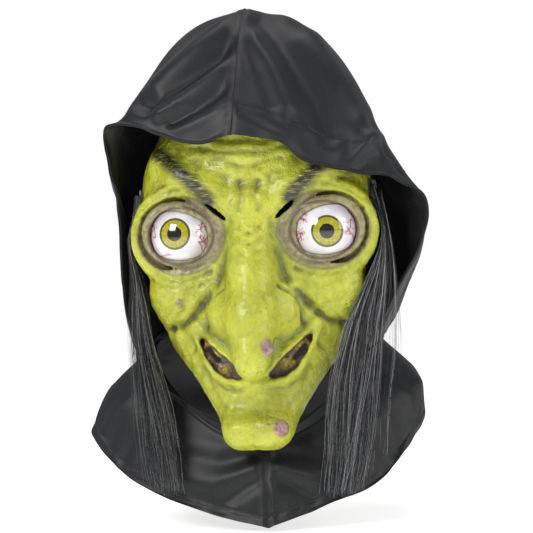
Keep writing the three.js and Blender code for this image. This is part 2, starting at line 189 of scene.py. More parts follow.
# ---------------------------------------------------------------------------
# Latex face. Liquid latex is slushed in a mould to a skin a few millimetres
# thick, trimmed along its rim, sprayed green and washed with brown, which
# stays in the creases. Painted shade is added in the hollows and round the eyes,
# and a painted highlight on the parts that stand out. The form is sculpted
# as a distance field and then meshed.
# ---------------------------------------------------------------------------
VOXEL = 1.6
SKIN = 2.5
LEFT, RIGHT = -1, 1
eye_low, eye_high = box_mm("right_eye_dome")
EYE_X = (eye_low[0] + eye_high[0]) / 2
EYE_Z = (eye_low[2] + eye_high[2]) / 2
EYE_FRONT = -eye_low[1]  # forwards is -Y, and the sculpt measures forwards
BALL_RADIUS = 31.0
BALL_FORWARD = EYE_FRONT - BALL_RADIUS
FACE_TOP = box_mm("latex_face")[1][2]
SMILE_HALF, SMILE_CORNER, SMILE_DROP = 54.0, -87.0, 42.0


class Clay:
    """A block of voxels that holds the distance to a sculpted surface, negative inside."""

    def __init__(self, low, high, step):
        self.axes = [np.arange(a, b + step, step, dtype=np.float32) for a, b in zip(low, high)]
        self.step = step
        self.field = np.full([len(a) for a in self.axes], 60.0, dtype=np.float32)

    def window(self, low, high):
        """The part of the block inside a box, as slices and as coordinates that broadcast."""
        spans = []
        for axis, a, b in zip(self.axes, low, high):
            first = int(np.clip(np.searchsorted(axis, a), 0, len(axis) - 1))
            last = int(np.clip(np.searchsorted(axis, b), first + 1, len(axis)))
            spans.append(slice(first, last))
        x, f, z = (axis[span] for axis, span in zip(self.axes, spans))
        return tuple(spans), x[:, None, None], f[None, :, None], z[None, None, :]

    def merge(self, spans, shape, soft, cut):
        """Adds a shape to the block or cuts it away, with a soft fillet."""
        old = self.field[spans]
        if cut:
            h = np.maximum(soft - np.abs(old + shape), 0) / soft
            self.field[spans] = np.maximum(old, -shape) + h * h * soft / 4
        else:
            h = np.maximum(soft - np.abs(old - shape), 0) / soft
            self.field[spans] = np.minimum(old, shape) - h * h * soft / 4

    def ball(self, centre, radii, soft=6.0, cut=False, reach=34.0):
        """An ellipsoid of the given half sizes."""
        c = np.array(centre, dtype=np.float32)
        r = np.array(radii, dtype=np.float32)
        spans, x, f, z = self.window(c - r - reach, c + r + reach)
        p = [(x - c[0]), (f - c[1]), (z - c[2])]
        k0 = np.sqrt(sum((q / s) ** 2 for q, s in zip(p, r)))
        k1 = np.sqrt(sum((q / s**2) ** 2 for q, s in zip(p, r)))
        self.merge(spans, k0 * (k0 - 1) / np.maximum(k1, 1e-6), soft, cut)

    def limb(self, a, b, ra, rb, soft=6.0, cut=False, reach=22.0):
        """A straight limb with round ends whose radius runs from ra to rb."""
        a = np.array(a, dtype=np.float32)
        b = np.array(b, dtype=np.float32)
        wide = max(ra, rb) + reach
        spans, x, f, z = self.window(np.minimum(a, b) - wide, np.maximum(a, b) + wide)
        along = b - a
        t = ((x - a[0]) * along[0] + (f - a[1]) * along[1] + (z - a[2]) * along[2]) / (along @ along)
        t = np.clip(t, 0, 1)
        gap = np.sqrt(
            (x - a[0] - t * along[0]) ** 2
            + (f - a[1] - t * along[1]) ** 2
            + (z - a[2] - t * along[2]) ** 2
        )
        self.merge(spans, gap - (ra + (rb - ra) * t), soft, cut)

    def cord(self, points, radii, soft=4.0, cut=False, reach=10.0):
        """A bent limb through several points."""
        for k in range(len(points) - 1):
            self.limb(points[k], points[k + 1], radii[k], radii[k + 1], soft, cut, reach)

    def sample(self, points):
        """The distance at each of many points, by linear interpolation."""
        field = self.field
        low = np.array([axis[0] for axis in self.axes])
        top = np.array(field.shape) - 1.001
        at = np.clip((points - low) / self.step, 0, top)
        i = at.astype(int)
        t = at - i
        total = np.zeros(len(points))
        for dx in (0, 1):
            for dy in (0, 1):
                for dz in (0, 1):
                    share = np.ones(len(points))
                    for k, d in enumerate((dx, dy, dz)):
                        share = share * (t[:, k] if d else 1 - t[:, k])
                    total += share * field[i[:, 0] + dx, i[:, 1] + dy, i[:, 2] + dz]
        return total

    def with_field(self, field):
        """The same block of voxels, holding an earlier state of the sculpt."""
        other = copy.copy(self)
        other.field = field
        return other

    def front(self, x, z):
        """How far forward the surface stands at x, z."""
        points = np.column_stack([np.full(400, x), np.linspace(170, 20, 400), np.full(400, z)])
        inside = np.nonzero(self.sample(points) < 0)[0]
        return float(points[inside[0], 1]) if len(inside) else 20.0

    def surface(self):
        """The zero surface as points and quads that face outwards, by surface nets."""
        d = self.field
        solid = d < 0
        cells = tuple(n - 1 for n in d.shape)
        total = np.zeros(cells + (3,), dtype=np.float32)
        count = np.zeros(cells, dtype=np.float32)
        corners = [(i, j, k) for i in (0, 1) for j in (0, 1) for k in (0, 1)]
        view = {
            c: d[c[0] : c[0] + cells[0], c[1] : c[1] + cells[1], c[2] : c[2] + cells[2]]
            for c in corners
        }
        for a in corners:
            for axis in range(3):
                if a[axis]:
                    continue
                b = tuple(v + (1 if n == axis else 0) for n, v in enumerate(a))
                da, db = view[a], view[b]
                hit = (da < 0) != (db < 0)
                where = np.nonzero(hit)
                share = da[where] / (da[where] - db[where])
                for n in range(3):
                    total[where + (np.full(len(share), n),)] += a[n] + (share if n == axis else 0)
                count[where] += 1
        used = count > 0
        number = np.full(cells, -1, dtype=np.int64)
        number[used] = np.arange(int(used.sum()))
        place = np.stack(np.nonzero(used), axis=1) + total[used] / count[used][:, None]
        low = np.array([axis[0] for axis in self.axes])
        points = low + place * self.step
        quads = []
        for axis in range(3):
            u, v = [(1, 2), (2, 0), (0, 1)][axis]
            inner = [slice(None)] * 3
            inner[axis] = slice(0, cells[axis])
            inner[u] = slice(1, cells[u])
            inner[v] = slice(1, cells[v])
            after = list(inner)
            after[axis] = slice(1, cells[axis] + 1)
            first, second = solid[tuple(inner)], solid[tuple(after)]
            cross = np.nonzero(first != second)
            base = [c.copy() for c in cross]
            base[u] += 1
            base[v] += 1
            ring = []
            for du, dv in ((1, 1), (0, 1), (0, 0), (1, 0)):
                cell = [c.copy() for c in base]
                cell[u] -= du
                cell[v] -= dv
                ring.append(number[tuple(cell)])
            ring = np.stack(ring, axis=1)
            flip = ~first[cross]
            ring[flip] = ring[flip][:, ::-1]
            quads.append(ring)
        return points, np.concatenate(quads)


def smile(x):
    """The height of the mouth's middle line."""
    return SMILE_CORNER - SMILE_DROP * (1 - (x / SMILE_HALF) ** 2)


clay = Clay((-118, 14, -206), (118, 172, FACE_TOP + 8), VOXEL)

# Skull, jaw and chin.
clay.ball((0, 18, 66), (103, 93, 98), soft=20, reach=60)
clay.ball((0, 22, -2), (105, 84, 88), soft=24, reach=60)
clay.ball((0, 26, -58), (96, 82, 82), soft=24, reach=60)
clay.limb((0, 70, -112), (0, 98, -164), 40, 24, soft=26, reach=40)
for side in (LEFT, RIGHT):
    clay.limb((side * 54, 62, -86), (side * 17, 98, -166), 28, 16, soft=26, reach=36)
    clay.ball((side * 69, 74, -46), (34, 30, 33), soft=20, reach=40)  # cheek pushed up by the grin
    clay.ball((side * 84, 50, 46), (25, 36, 44), soft=20, reach=40)  # temple
    clay.ball((side * EYE_X, 74, EYE_Z - 1), (40, 22, 36), soft=20, reach=40)  # mound that holds the eye

# Brow ridges that slope down to the nose, and the knot between them.
for side in (LEFT, RIGHT):
    clay.cord(
        [(side * 15, 105, 33), (side * 40, 101, 47), (side * 66, 93, 62), (side * 88, 74, 74)],
        [10, 11, 9, 6],
        soft=16,
        reach=16,
    )
clay.ball((0, 108, 30), (15, 9, 16), soft=8)

# Nose: a thin hooked bridge that swells into a long drooping tip.
clay.cord(
    [(0, 100, 26), (0, 110, -6), (0, 119, -34), (0, 129, -72), (0, 140, -102)],
    [10, 13, 16, 20, 17.5],
    soft=20,
    reach=20,
)
clay.ball((0, 143, -111), (15, 17, 18), soft=8)
for side in (LEFT, RIGHT):
    clay.ball((side * 26, 106, -66), (17, 18, 22), soft=16)
    clay.cord(
        [(side * 25, 118, -44), (side * 42, 108, -58), (side * 45, 104, -78)],
        [1.5, 2.6, 2.2],
        soft=4,
        cut=True,
    )
    clay.ball((side * 14, 125, -94), (6, 10, 8), soft=3, cut=True)

# Muzzle, folds from the nose round the cheeks, and the jutting cleft chin.
CHEEK_FOLD = [(41, -48), (50, -60), (61, -72), (73, -80), (86, -82)]
clay.ball((0, 98, -106), (50, 17, 24), soft=14)
for side in (LEFT, RIGHT):
    fold = [(side * x, clay.front(side * x, z) + 0.6, z) for x, z in CHEEK_FOLD]
    clay.cord(fold, [1.8, 2.8, 3.2, 3.0, 2.0], soft=7, cut=True)
    clay.ball((side * 13, 116, -176), (20, 21, 18), soft=12)
clay.limb((-22, 131, -151), (22, 131, -151), 7, 7, soft=14, cut=True)
clay.limb((0, 140, -170), (0, 138, -197), 1.8, 3.0, soft=7, cut=True)

# Lips along the grin, and the mouth behind them with its gums and crooked teeth.
grin = np.linspace(-SMILE_HALF - 4, SMILE_HALF + 4, 15)
lip_front = [clay.front(x, smile(x)) for x in grin]
thick = [0.36 + 0.64 * math.exp(-(((abs(x) - 32) / 15) ** 2)) for x in grin]
for shift, size, lean in ((9.5, 6.0, -1.0), (-9.5, 6.6, -0.5)):
    clay.cord(
        [(x, f + lean, smile(x) + shift * w) for x, f, w in zip(grin, lip_front, thick)],
        [size * w for w in thick],
        soft=6,
    )
skin_before_mouth = clay.field.copy()
clay.cord(
    [(x, f + 6, smile(x)) for x, f in zip(grin, lip_front)],
    [7.6 * w for w in thick],
    soft=3,
    cut=True,
)
clay.cord(
    [(x, f - 4, smile(x)) for x, f in zip(grin, lip_front)],
    [7.4 * w for w in thick],
    soft=3,
    cut=True,
)
for shift in (5.0, -5.0):
    run = [(x, f - 7.5, smile(x) + shift * w) for x, f, w in zip(grin, lip_front, thick)]
    clay.cord(run[1:-1], [3.6 * w for w in thick][1:-1], soft=3)
# Each tooth is its place across, its height from the middle of the grin and its half width.
teeth = [
    (-46, 3, 2.8), (-38, 3, 3.4), (-29, -3, 3.2), (27, 3, 3.6), (35, -2, 3.4), (42, 3, 3.6), (48, -2, 2.6)
]
tooth_stamps = []
for x, shift, size in teeth:
    f = np.interp(x, grin, lip_front)
    place = (x, f - 3.6, smile(x) + shift)
    clay.ball(place, (size, 3.2, size * 1.35), soft=1.2, reach=6)
    tooth_stamps.append((place, size * 1.25))

# Lids round each ball, and the folds and bags of skin outside them.
EYE_TILT = math.radians(11)  # the outer corner stands higher than the inner one
LID_REACH = 29.6  # past this distance from the eye's middle, the lid falls back from the ball


def eye_loop(side, wide, tall, lift, count=44):
    """A ring of points that hugs the eyeball, lift further out than its surface."""
    ring = []
    for k in range(count + 1):
        turn = 2 * math.pi * k / count
        level_x = wide * math.cos(turn)
        level_z = tall * math.sin(turn) * (1 + 0.14 * math.cos(turn))
        x = level_x * math.cos(EYE_TILT) - level_z * math.sin(EYE_TILT)
        z = level_x * math.sin(EYE_TILT) + level_z * math.cos(EYE_TILT)
        depth = math.sqrt(max(BALL_RADIUS**2 - min(x * x + z * z, LID_REACH**2), 0))
        back = max(0.0, math.hypot(x, z) - LID_REACH) * 0.55
        ring.append((side * (EYE_X + x), BALL_FORWARD + depth + lift - back, EYE_Z + z))
    return ring


for side in (LEFT, RIGHT):
    clay.cord(eye_loop(side, 40.5, 36, -2.5), [4.4] * 45, soft=12)
    clay.cord(eye_loop(side, 36, 28.5, 2.6), [0.9] * 45, soft=3.0, cut=True)
    clay.cord(eye_loop(side, 38.5, 31.0, 3.5), [1.5] * 45, soft=5.0, cut=True)
    heavy = [4.4 + 1.0 * math.sin(2 * math.pi * k / 44) for k in range(45)]  # the upper lid is the thicker
    clay.cord(eye_loop(side, 33.5, 25.0, 0.5), heavy, soft=3.0)
    clay.ball((side * EYE_X, BALL_FORWARD, EYE_Z), (31.5, 31.5, 31.5), soft=0.8, cut=True, reach=4)

# Warts, each a rough bump on the skin.
wart_stamps = []
for x, z, size in ((15.5, -99, 6.6), (24, -173, 6.8), (-49, 100, 3.2), (-70, -56, 3.4)):
    f = clay.front(x, z)
    clay.ball((x, f - 0.5, z), (size, size * 0.8, size), soft=3, reach=8)
    for k in range(7):
        turn = k * 2.4 + x
        reach = size * 0.62
        spot = (x + reach * math.cos(turn), f + size * 0.35, z + reach * math.sin(turn))
        clay.ball(spot, (size * 0.3,) * 3, soft=1.2, reach=4)
    wart_stamps.append(((x, f, z), size))

# The skin is hollow, open along its rim, and pierced where the wearer breathes and looks out.
# The rim is cut back to this far forward at each height.
RIM = [
    (-206, 118), (-187, 113), (-172, 97), (-140, 62), (-104, 48), (-68, 36), (-35, 32), (44, 30), (140, 22)
]
outer_field = clay.field.copy()
clay.field = np.maximum(clay.field, -(clay.field + SKIN))
spans, x, f, z = clay.window((-999, -999, -999), (999, 999, 999))
rim = np.interp(z.ravel(), [p[0] for p in RIM], [p[1] for p in RIM]).astype(np.float32)
clay.field = np.maximum(clay.field, rim[None, None, :] - f)
clay.field = np.maximum(clay.field, z - (FACE_TOP - 0.5))
for side in (LEFT, RIGHT):
    for k in range(9):
        x0, z0 = 24 + 2 * k, 20.2 + 1.7 * k
        wide = 1.1 + 1.1 * math.sin(math.pi * (k + 0.5) / 9)
        clay.limb((side * x0, 70, z0), (side * x0, 140, z0), wide, wide, soft=1, cut=True, reach=4)
    for x0 in (36.0, 39.0, 42.0, 45.0):
        z0 = smile(x0)
        clay.limb((side * x0, 60, z0), (side * x0, 140, z0), 2.5, 2.5, soft=0.8, cut=True, reach=4)
points, quads = clay.surface()

pairs = np.concatenate([quads[:, [k, (k + 1) % 4]] for k in range(4)])
degree = np.bincount(pairs.ravel(), minlength=len(points))[:, None]


def average(values):
    """Each vertex's mean over its neighbours."""
    columns = values.reshape(len(values), -1)
    total = np.zeros_like(columns, dtype=float)
    for n in range(columns.shape[1]):
        total[:, n] = np.bincount(pairs[:, 0], columns[pairs[:, 1], n], len(columns))
        total[:, n] += np.bincount(pairs[:, 1], columns[pairs[:, 0], n], len(columns))
    return total / degree


def normals_of(at, faces):
    """Unit normals at the vertices of a mesh of quads."""
    cross = np.cross(at[faces[:, 2]] - at[faces[:, 0]], at[faces[:, 3]] - at[faces[:, 1]])
    total = np.zeros_like(at)
    for k in range(4):
        for n in range(3):
            total[:, n] += np.bincount(faces[:, k], cross[:, n], len(at))
    return total / np.maximum(np.linalg.norm(total, axis=1, keepdims=True), 1e-9)


def distance_to(path, at):
    """The distance in the x, z plane from points to a bent line."""
    best = np.full(len(at), 1e9)
    for a, b in zip(path[:-1], path[1:]):
        a, b = np.array(a, float), np.array(b, float)
        t = np.clip(((at - a) @ (b - a)) / ((b - a) @ (b - a)), 0, 1)
        best = np.minimum(best, np.linalg.norm(at - a - t[:, None] * (b - a), axis=1))
    return best


def arc(side, wide, tall, start, stop, count=9):
    """Part of an oval round an eye. Turns are in degrees, from the outer corner upwards."""
    turns = np.radians(np.linspace(start, stop, count))
    return [(side * (EYE_X + wide * math.cos(t)), EYE_Z + tall * math.sin(t)) for t in turns]


points = points + 0.5 * (average(points) - points)
outer = clay.with_field(outer_field).sample(points) > -SKIN * 0.5

# Each fold is a bent line across the face, its width and its depth.
folds = []
for side in (LEFT, RIGHT):
    folds += [
        (arc(side, 47, 42, 20, -125), 2.0, 1.3),
        (arc(side, 53, 49, 0, -110), 2.2, 1.0),
        (arc(side, 60, 57, -20, -80), 2.0, 0.7),
        (arc(side, 46, 43, 40, 150), 2.0, 1.3),
        (arc(side, 52, 50, 60, 140), 1.8, 0.8),
        ([(side * 9, 54), (side * 6, 42), (side * 9, 28)], 2.6, 1.5),
        ([(side * 9, 12), (side * 3, 7), (0, 6)], 1.8, 1.1),
        ([(side * 11, 3), (side * 4, -3), (0, -4)], 1.8, 1.0),
        ([(side * 12, -8), (side * 5, -13)], 1.6, 0.7),
        ([(side * 22, -8), (side * 30, -30), (side * 34, -46)], 2.2, 1.1),
        ([(side * 66, -62), (side * 80, -76), (side * 82, -94), (side * 74, -108)], 2.6, 1.5),
        ([(side * 76, -60), (side * 89, -74), (side * 91, -90)], 2.4, 1.0),
        ([(side * 56, -98), (side * 66, -108), (side * 66, -124)], 2.2, 1.2),
        ([(side * across, up) for across, up in CHEEK_FOLD], 2.2, 1.4),
        ([(side * 50, -118), (side * 42, -138), (side * 31, -152)], 2.4, 1.2),
        ([(side * 12, -112), (side * 10, -118)], 1.4, 0.7),
        ([(side * 24, -106), (side * 22, -113)], 1.4, 0.7),
        ([(side * 96, 18), (side * 104, 26)], 1.6, 0.9),
        ([(side * 97, 8), (side * 106, 8)], 1.6, 0.9),
        ([(side * 96, -2), (side * 104, -10)], 1.6, 0.9),
        ([(side * 27, -146), (side * 30, -158), (side * 27, -168)], 1.8, 0.9),
    ]
for level, sag, reach in ((74, 5, 34), (84, 3, 56), (96, 5, 62), (108, 3, 58), (119, 4, 50), (130, 2, 44)):
    row = [
        (x, level - sag * math.cos(x / 17) + 1.6 * math.sin(x / 7 + level))
        for x in range(-reach, reach + 1, 8)
    ]
    folds.append((row, 2.6, 1.5))

normals = normals_of(points, quads)
flat = points[:, [0, 2]]
push = np.zeros(len(points))
for path, width, depth in folds:
    gap = distance_to(path, flat)
    width = width * (1.1 + 0.35 * noise.noise(Vector((path[0][0], path[0][1], 0)) / 9))
    crease = 0.75 * depth * np.exp(-((gap / width) ** 2))
    shoulders = 0.45 * depth * np.exp(-(((gap - 2.4 * width) / width) ** 2))
    push -= crease - shoulders
lumps = np.array([noise.noise(Vector(p) / 9.0) + 0.5 * noise.noise(Vector(p) / 4.0) for p in points])
front_facing = np.clip(normals[:, 1], 0, 1)
push = (push * np.clip(front_facing * 1.6, 0, 1) + 0.55 * lumps) * outer
eye_gap = np.min(
    [np.hypot((flat[:, 0] - side * EYE_X) / 33, (flat[:, 1] - EYE_Z) / 28) for side in (LEFT, RIGHT)],
    axis=0,
)
push *= np.clip((eye_gap - 0.95) / 0.25, 0, 1)
depth_in = -clay.with_field(skin_before_mouth).sample(points)
in_mouth = np.clip((depth_in - 1.2) / 1.5, 0, 1) * outer
push *= 1 - in_mouth
points = points + normals * push[:, None]

# Paint masks.
smooth_few = points
for _ in range(5):
    smooth_few = average(smooth_few)
smooth_many = smooth_few
for _ in range(16):
    smooth_many = average(smooth_many)
normals = normals_of(points, quads)
hollow = np.sum((smooth_few - points) * normals, axis=1) * 0.25
hollow += np.sum((smooth_many - points) * normals, axis=1) * 0.4
smooth_most = smooth_many
for _ in range(70):
    smooth_most = average(smooth_most)
# Painted shade: the broad hollows of the face are painted a darker green.
painted_hollow_shade = np.clip(np.sum((smooth_most - points) * normals, axis=1) * 0.26, 0, 1)
# Painted highlight: the parts that stand out, such as the nose, chin and cheeks, are painted a lighter
# green.
painted_highlight = np.clip(-np.sum((smooth_most - points) * normals, axis=1) * 0.26, 0, 1)
# Brown wash that stays in the creases, mixed with painted shade in the broad hollows.
crease_wash_and_shade = np.clip(hollow, 0, 1)
for path, width, depth in folds:
    crease_wash_and_shade = np.maximum(crease_wash_and_shade, 0.30 * depth / 1.8 * np.exp(-((distance_to(path, flat) / (1.2 * width)) ** 2)))
lid = np.clip((1.34 - eye_gap) / 0.14, 0, 1)
# Painted shade: a dark ring where the lid meets the ball, and a softer one along the lid's outer crease.
crease_wash_and_shade = np.maximum(crease_wash_and_shade, 0.9 * np.exp(-(((eye_gap - 0.94) / 0.045) ** 2)))
crease_wash_and_shade = np.maximum(crease_wash_and_shade, 0.55 * np.exp(-(((eye_gap - 1.3) / 0.06) ** 2)))
brow = np.zeros(len(points))
for side in (LEFT, RIGHT):
    line = [(side * 38, 38), (side * 56, 58), (side * 76, 76), (side * 92, 88)]
    brow = np.maximum(brow, np.clip(1.5 - distance_to(line, flat) / 7.5, 0, 1))
tooth = np.zeros(len(points))
for place, size in tooth_stamps:
    gap = np.linalg.norm(points - place, axis=1)
    tooth = np.maximum(tooth, np.clip((size + 1.6 - gap) / 1.2, 0, 1))
tooth *= in_mouth > 0
wart = np.zeros(len(points))
for place, size in wart_stamps:
    gap = np.linalg.norm(points - place, axis=1)
    wart = np.maximum(wart, np.clip((size * 1.45 - gap) / (size * 0.5), 0, 1))
under_wart = np.exp(-(np.linalg.norm((flat - np.array((12, -165))) / (16, 9), axis=1) ** 2))

masks = {
    "crease_wash_and_shade": crease_wash_and_shade * outer,
    "painted_hollow_shade": painted_hollow_shade * outer,
    "painted_highlight": painted_highlight * outer,
    "lid": lid * outer,
    "brow": brow * outer,
    "gum": in_mouth,
    "tooth": tooth,
    "wart": wart * outer,
    "stain": under_wart * outer,
}
# Cast latex is matt and slightly see-through, with fine pores and creases, and its thin clear
# sealer gives it small wet highlights on the nose and brow.
latex, tree, shader = new_material("painted cast latex", Roughness=0.42, IOR=1.52)


def face_mask(name):
    """The value of one paint mask at the shading point."""
    return add_node(tree, "ShaderNodeAttribute", attribute_name=name).outputs["Fac"]


def noise_value(size_mm, detail=3.0, roughness=0.55):
    """A smooth random value whose features are about this big, fixed to the mesh."""
    place = add_node(tree, "ShaderNodeTexCoord").outputs["Object"]
    made = add_node(tree, "ShaderNodeTexNoise", [("Vector", place)], Scale=1000 / size_mm, Detail=detail)
    made.inputs["Roughness"].default_value = roughness
    return made.outputs["Fac"]


def ramp(source, *stops):
    """Colours or greys at places along a value. Each stop is (place, colour)."""
    made = add_node(tree, "ShaderNodeValToRGB", [("Fac", source)])
    band = made.color_ramp
    while len(band.elements) < len(stops):
        band.elements.new(0.5)
    for element, (place, colour) in zip(band.elements, stops):
        element.position = place
        element.color = linear(colour) if isinstance(colour, str) else (colour, colour, colour, 1)
    return made.outputs["Color"]


def paint_over(under, colour, amount, mode="MIX"):
    """One layer of colour over another."""
    made = add_node(tree, "ShaderNodeMix", data_type="RGBA", blend_type=mode)
    for socket, value in ((made.inputs[0], amount), (made.inputs[6], under), (made.inputs[7], colour)):
        if isinstance(value, bpy.types.NodeSocket):
            tree.links.new(value, socket)
        else:
            socket.default_value = linear(value) if isinstance(value, str) else value
    return made.outputs[2]


def combine(operation, a, b):
    """Arithmetic on two values, either of which may be a number."""
    made = add_node(tree, "ShaderNodeMath", operation=operation, use_clamp=True)
    for socket, value in zip(made.inputs, (a, b)):
        if isinstance(value, bpy.types.NodeSocket):
            tree.links.new(value, socket)
        else:
            socket.default_value = value
    return made.outputs[0]


colour = ramp(noise_value(38), (0.32, "#9B9F22"), (0.5, "#AAAE27"), (0.68, "#B8BB33"))
colour = paint_over(colour, "#7E861A", ramp(noise_value(7, 5), (0.5, 0.0), (0.72, 0.7)))
colour = paint_over(colour, "#C9CD4C", ramp(noise_value(17, 3), (0.52, 0.0), (0.72, 0.6)))
colour = paint_over(colour, "#4F4A1A", ramp(noise_value(2.6, 2, 0.4), (0.70, 0.0), (0.78, 0.6)))
# Painted shade in the broad hollows.
colour = paint_over(colour, "#5F6A18", combine("MULTIPLY", face_mask("painted_hollow_shade"), 0.9))
# Painted highlight on the parts that stand out.
colour = paint_over(colour, "#C6C93F", combine("MULTIPLY", face_mask("painted_highlight"), 0.35))
# The brown wash in the creases, together with painted shade in the hollows and round the eyes.
wash_and_shade_amount = combine("MULTIPLY", face_mask("crease_wash_and_shade"), ramp(noise_value(5, 4), (0.25, 0.6), (0.6, 1.0)))
colour = paint_over(colour, "#6B6A22", ramp(wash_and_shade_amount, (0.10, 0.0), (0.55, 0.7)))
colour = paint_over(colour, "#3E351A", ramp(wash_and_shade_amount, (0.45, 0.0), (1.0, 0.9)))
lid_colour = ramp(noise_value(5, 4), (0.32, "#5A5040"), (0.5, "#857A5E"), (0.66, "#9C9273"))
colour = paint_over(colour, lid_colour, combine("MULTIPLY", face_mask("lid"), 0.85))
# The same wash and painted shade, over the lids.
lid_wash_and_shade = combine("MULTIPLY", face_mask("lid"), ramp(wash_and_shade_amount, (0.1, 0.0), (0.5, 0.9)))
colour = paint_over(colour, "#574534", lid_wash_and_shade)
mirrored = add_node(
    tree,
    "ShaderNodeVectorMath",
    [(0, add_node(tree, "ShaderNodeTexCoord").outputs["Object"])],
    operation="ABSOLUTE",
)
combed = add_node(tree, "ShaderNodeMapping", [("Vector", mirrored.outputs[0])])
combed.inputs["Rotation"].default_value = (0, math.radians(50), 0)
combed.inputs["Scale"].default_value = (60, 300, 900)
bristle = add_node(tree, "ShaderNodeTexNoise", [("Vector", combed.outputs[0])], Scale=1.0, Detail=3.0)
streaks = ramp(bristle.outputs["Fac"], (0.28, 0.15), (0.46, 1.0))
colour = paint_over(colour, "#2A2716", combine("MULTIPLY", face_mask("brow"), streaks))
stain = combine("MULTIPLY", face_mask("stain"), ramp(noise_value(3, 5, 0.7), (0.42, 0.0), (0.6, 0.8)))
colour = paint_over(colour, "#6E5A22", stain)
wart_colour = ramp(noise_value(3, 4), (0.35, "#6F4E52"), (0.6, "#A9857F"))
colour = paint_over(colour, wart_colour, face_mask("wart"))
gum_colour = ramp(noise_value(4, 3), (0.35, "#3B2C20"), (0.65, "#6A5242"))
colour = paint_over(colour, gum_colour, face_mask("gum"))
tooth_colour = ramp(noise_value(3, 3), (0.35, "#7C6420"), (0.65, "#B29A3C"))
colour = paint_over(colour, tooth_colour, face_mask("tooth"))
tree.links.new(colour, shader.inputs["Base Color"])
rough = ramp(noise_value(6, 3), (0.3, 0.26), (0.7, 0.42))
tree.links.new(rough, shader.inputs["Roughness"])
shader.inputs["Coat Weight"].default_value = 0.3
shader.inputs["Coat Roughness"].default_value = 0.2
shader.inputs["Subsurface Weight"].default_value = 0.12
shader.inputs["Subsurface Radius"].default_value = (0.6, 0.8, 0.2)
shader.inputs["Subsurface Scale"].default_value = 0.002
hide = add_node(tree, "ShaderNodeBump", [("Height", noise_value(7, 4, 0.62))], Strength=0.9, Distance=0.0032)
pores = add_node(
    tree,
    "ShaderNodeBump",
    [("Height", noise_value(1.8, 4, 0.6)), ("Normal", hide.outputs[0])],
    Strength=0.7,
    Distance=0.0011,
)
tree.links.new(pores.outputs[0], shader.inputs["Normal"])

world_points = points * (1, -1, 1)
face = make_object("green_latex_face", world_points, quads, latex)
for name, values in masks.items():
    store(face, name, values)
group = face.vertex_groups.new(name="inner")
group.add(np.nonzero(~outer)[0].tolist(), 1.0, "REPLACE")
thin = face.modifiers.new("thin", "DECIMATE")
thin.ratio = 0.62
thin.vertex_group = "inner"
thin.vertex_group_factor = 10.0


def bake(obj):
    """Applies an object's modifiers, so that it is left as a plain mesh."""
    graph = bpy.context.evaluated_depsgraph_get()
    mesh = bpy.data.meshes.new_from_object(
        obj.evaluated_get(graph), preserve_all_data_layers=True, depsgraph=graph
    )
    old = obj.data
    obj.modifiers.clear()
    obj.data = mesh
    bpy.data.meshes.remove(old)
    mesh.name = obj.name


bake(face)
face.vertex_groups.clear()
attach(face, "mask_body")
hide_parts("latex_face")


# ---------------------------------------------------------------------------
# Eyes. Each is a dome vacuum-formed in hard white plastic, with a sprayed
# iris, a printed pupil and hand-drawn veins under a thick clear gloss coat.
# ---------------------------------------------------------------------------
DOME_DEPTH = eye_high[1] - eye_low[1]
IRIS_RADIUS, PUPIL_RADIUS = 14.8, 6.9
GAZE = {LEFT: (-4.0, 2.0), RIGHT: (4.0, -1.5)}
rings, spokes = 84, 150
chance = np.random.default_rng(41)


def grow_veins(start, heading, width, reach):
    """A wandering line that forks, as (path, width) pairs in the flat of the eye."""
    grown, path, at = [], [start], np.array(start, float)
    for step in range(reach):
        heading += chance.normal(0, 0.42)
        at = at + 1.5 * np.array((math.cos(heading), math.sin(heading)))
        path.append(tuple(at))
        if step > 1 and chance.random() < 0.3 and width > 0.22:
            turned = heading + chance.choice((-0.8, 0.8))
            grown += grow_veins(tuple(at), turned, width * 0.7, reach - step - 2)
    return [(path, width)] + grown


# White plastic under a thick clear coat: a sharp, mirror-like highlight over flat paint.
eye_gloss, tree, shader = new_material("gloss coated eye paint", Roughness=0.12, IOR=1.5)
shader.inputs["Coat Weight"].default_value = 1.0
shader.inputs["Coat Roughness"].default_value = 0.03
colour = ramp(noise_value(12, 3), (0.35, "#CFCBD2"), (0.6, "#E2E0E2"))
# Painted shade: the white turns greyish mauve towards the dome's rim, where the lids shade it.
rim_shade_paint = combine("MULTIPLY", face_mask("rim_shade"), ramp(noise_value(6, 3), (0.3, 0.5), (0.7, 1.0)))
colour = paint_over(colour, "#A892A0", rim_shade_paint)
colour = paint_over(colour, "#A02A50", face_mask("vein"))
gaze_mm = face_mask("gaze")
flecks = ramp(noise_value(1.6, 4), (0.35, "#8E8A12"), (0.65, "#B9B024"))
flecks = paint_over(flecks, "#6F6A10", combine("MULTIPLY", face_mask("fleck"), 0.35))
iris_edge = combine("LESS_THAN", gaze_mm, IRIS_RADIUS)
inner_iris = combine("LESS_THAN", gaze_mm, IRIS_RADIUS - 2.0)
pupil_edge = combine("LESS_THAN", gaze_mm, PUPIL_RADIUS)
colour = paint_over(colour, "#4E4A12", iris_edge)
colour = paint_over(colour, flecks, inner_iris)
colour = paint_over(colour, "#0D0D0F", pupil_edge)
tree.links.new(colour, shader.inputs["Base Color"])

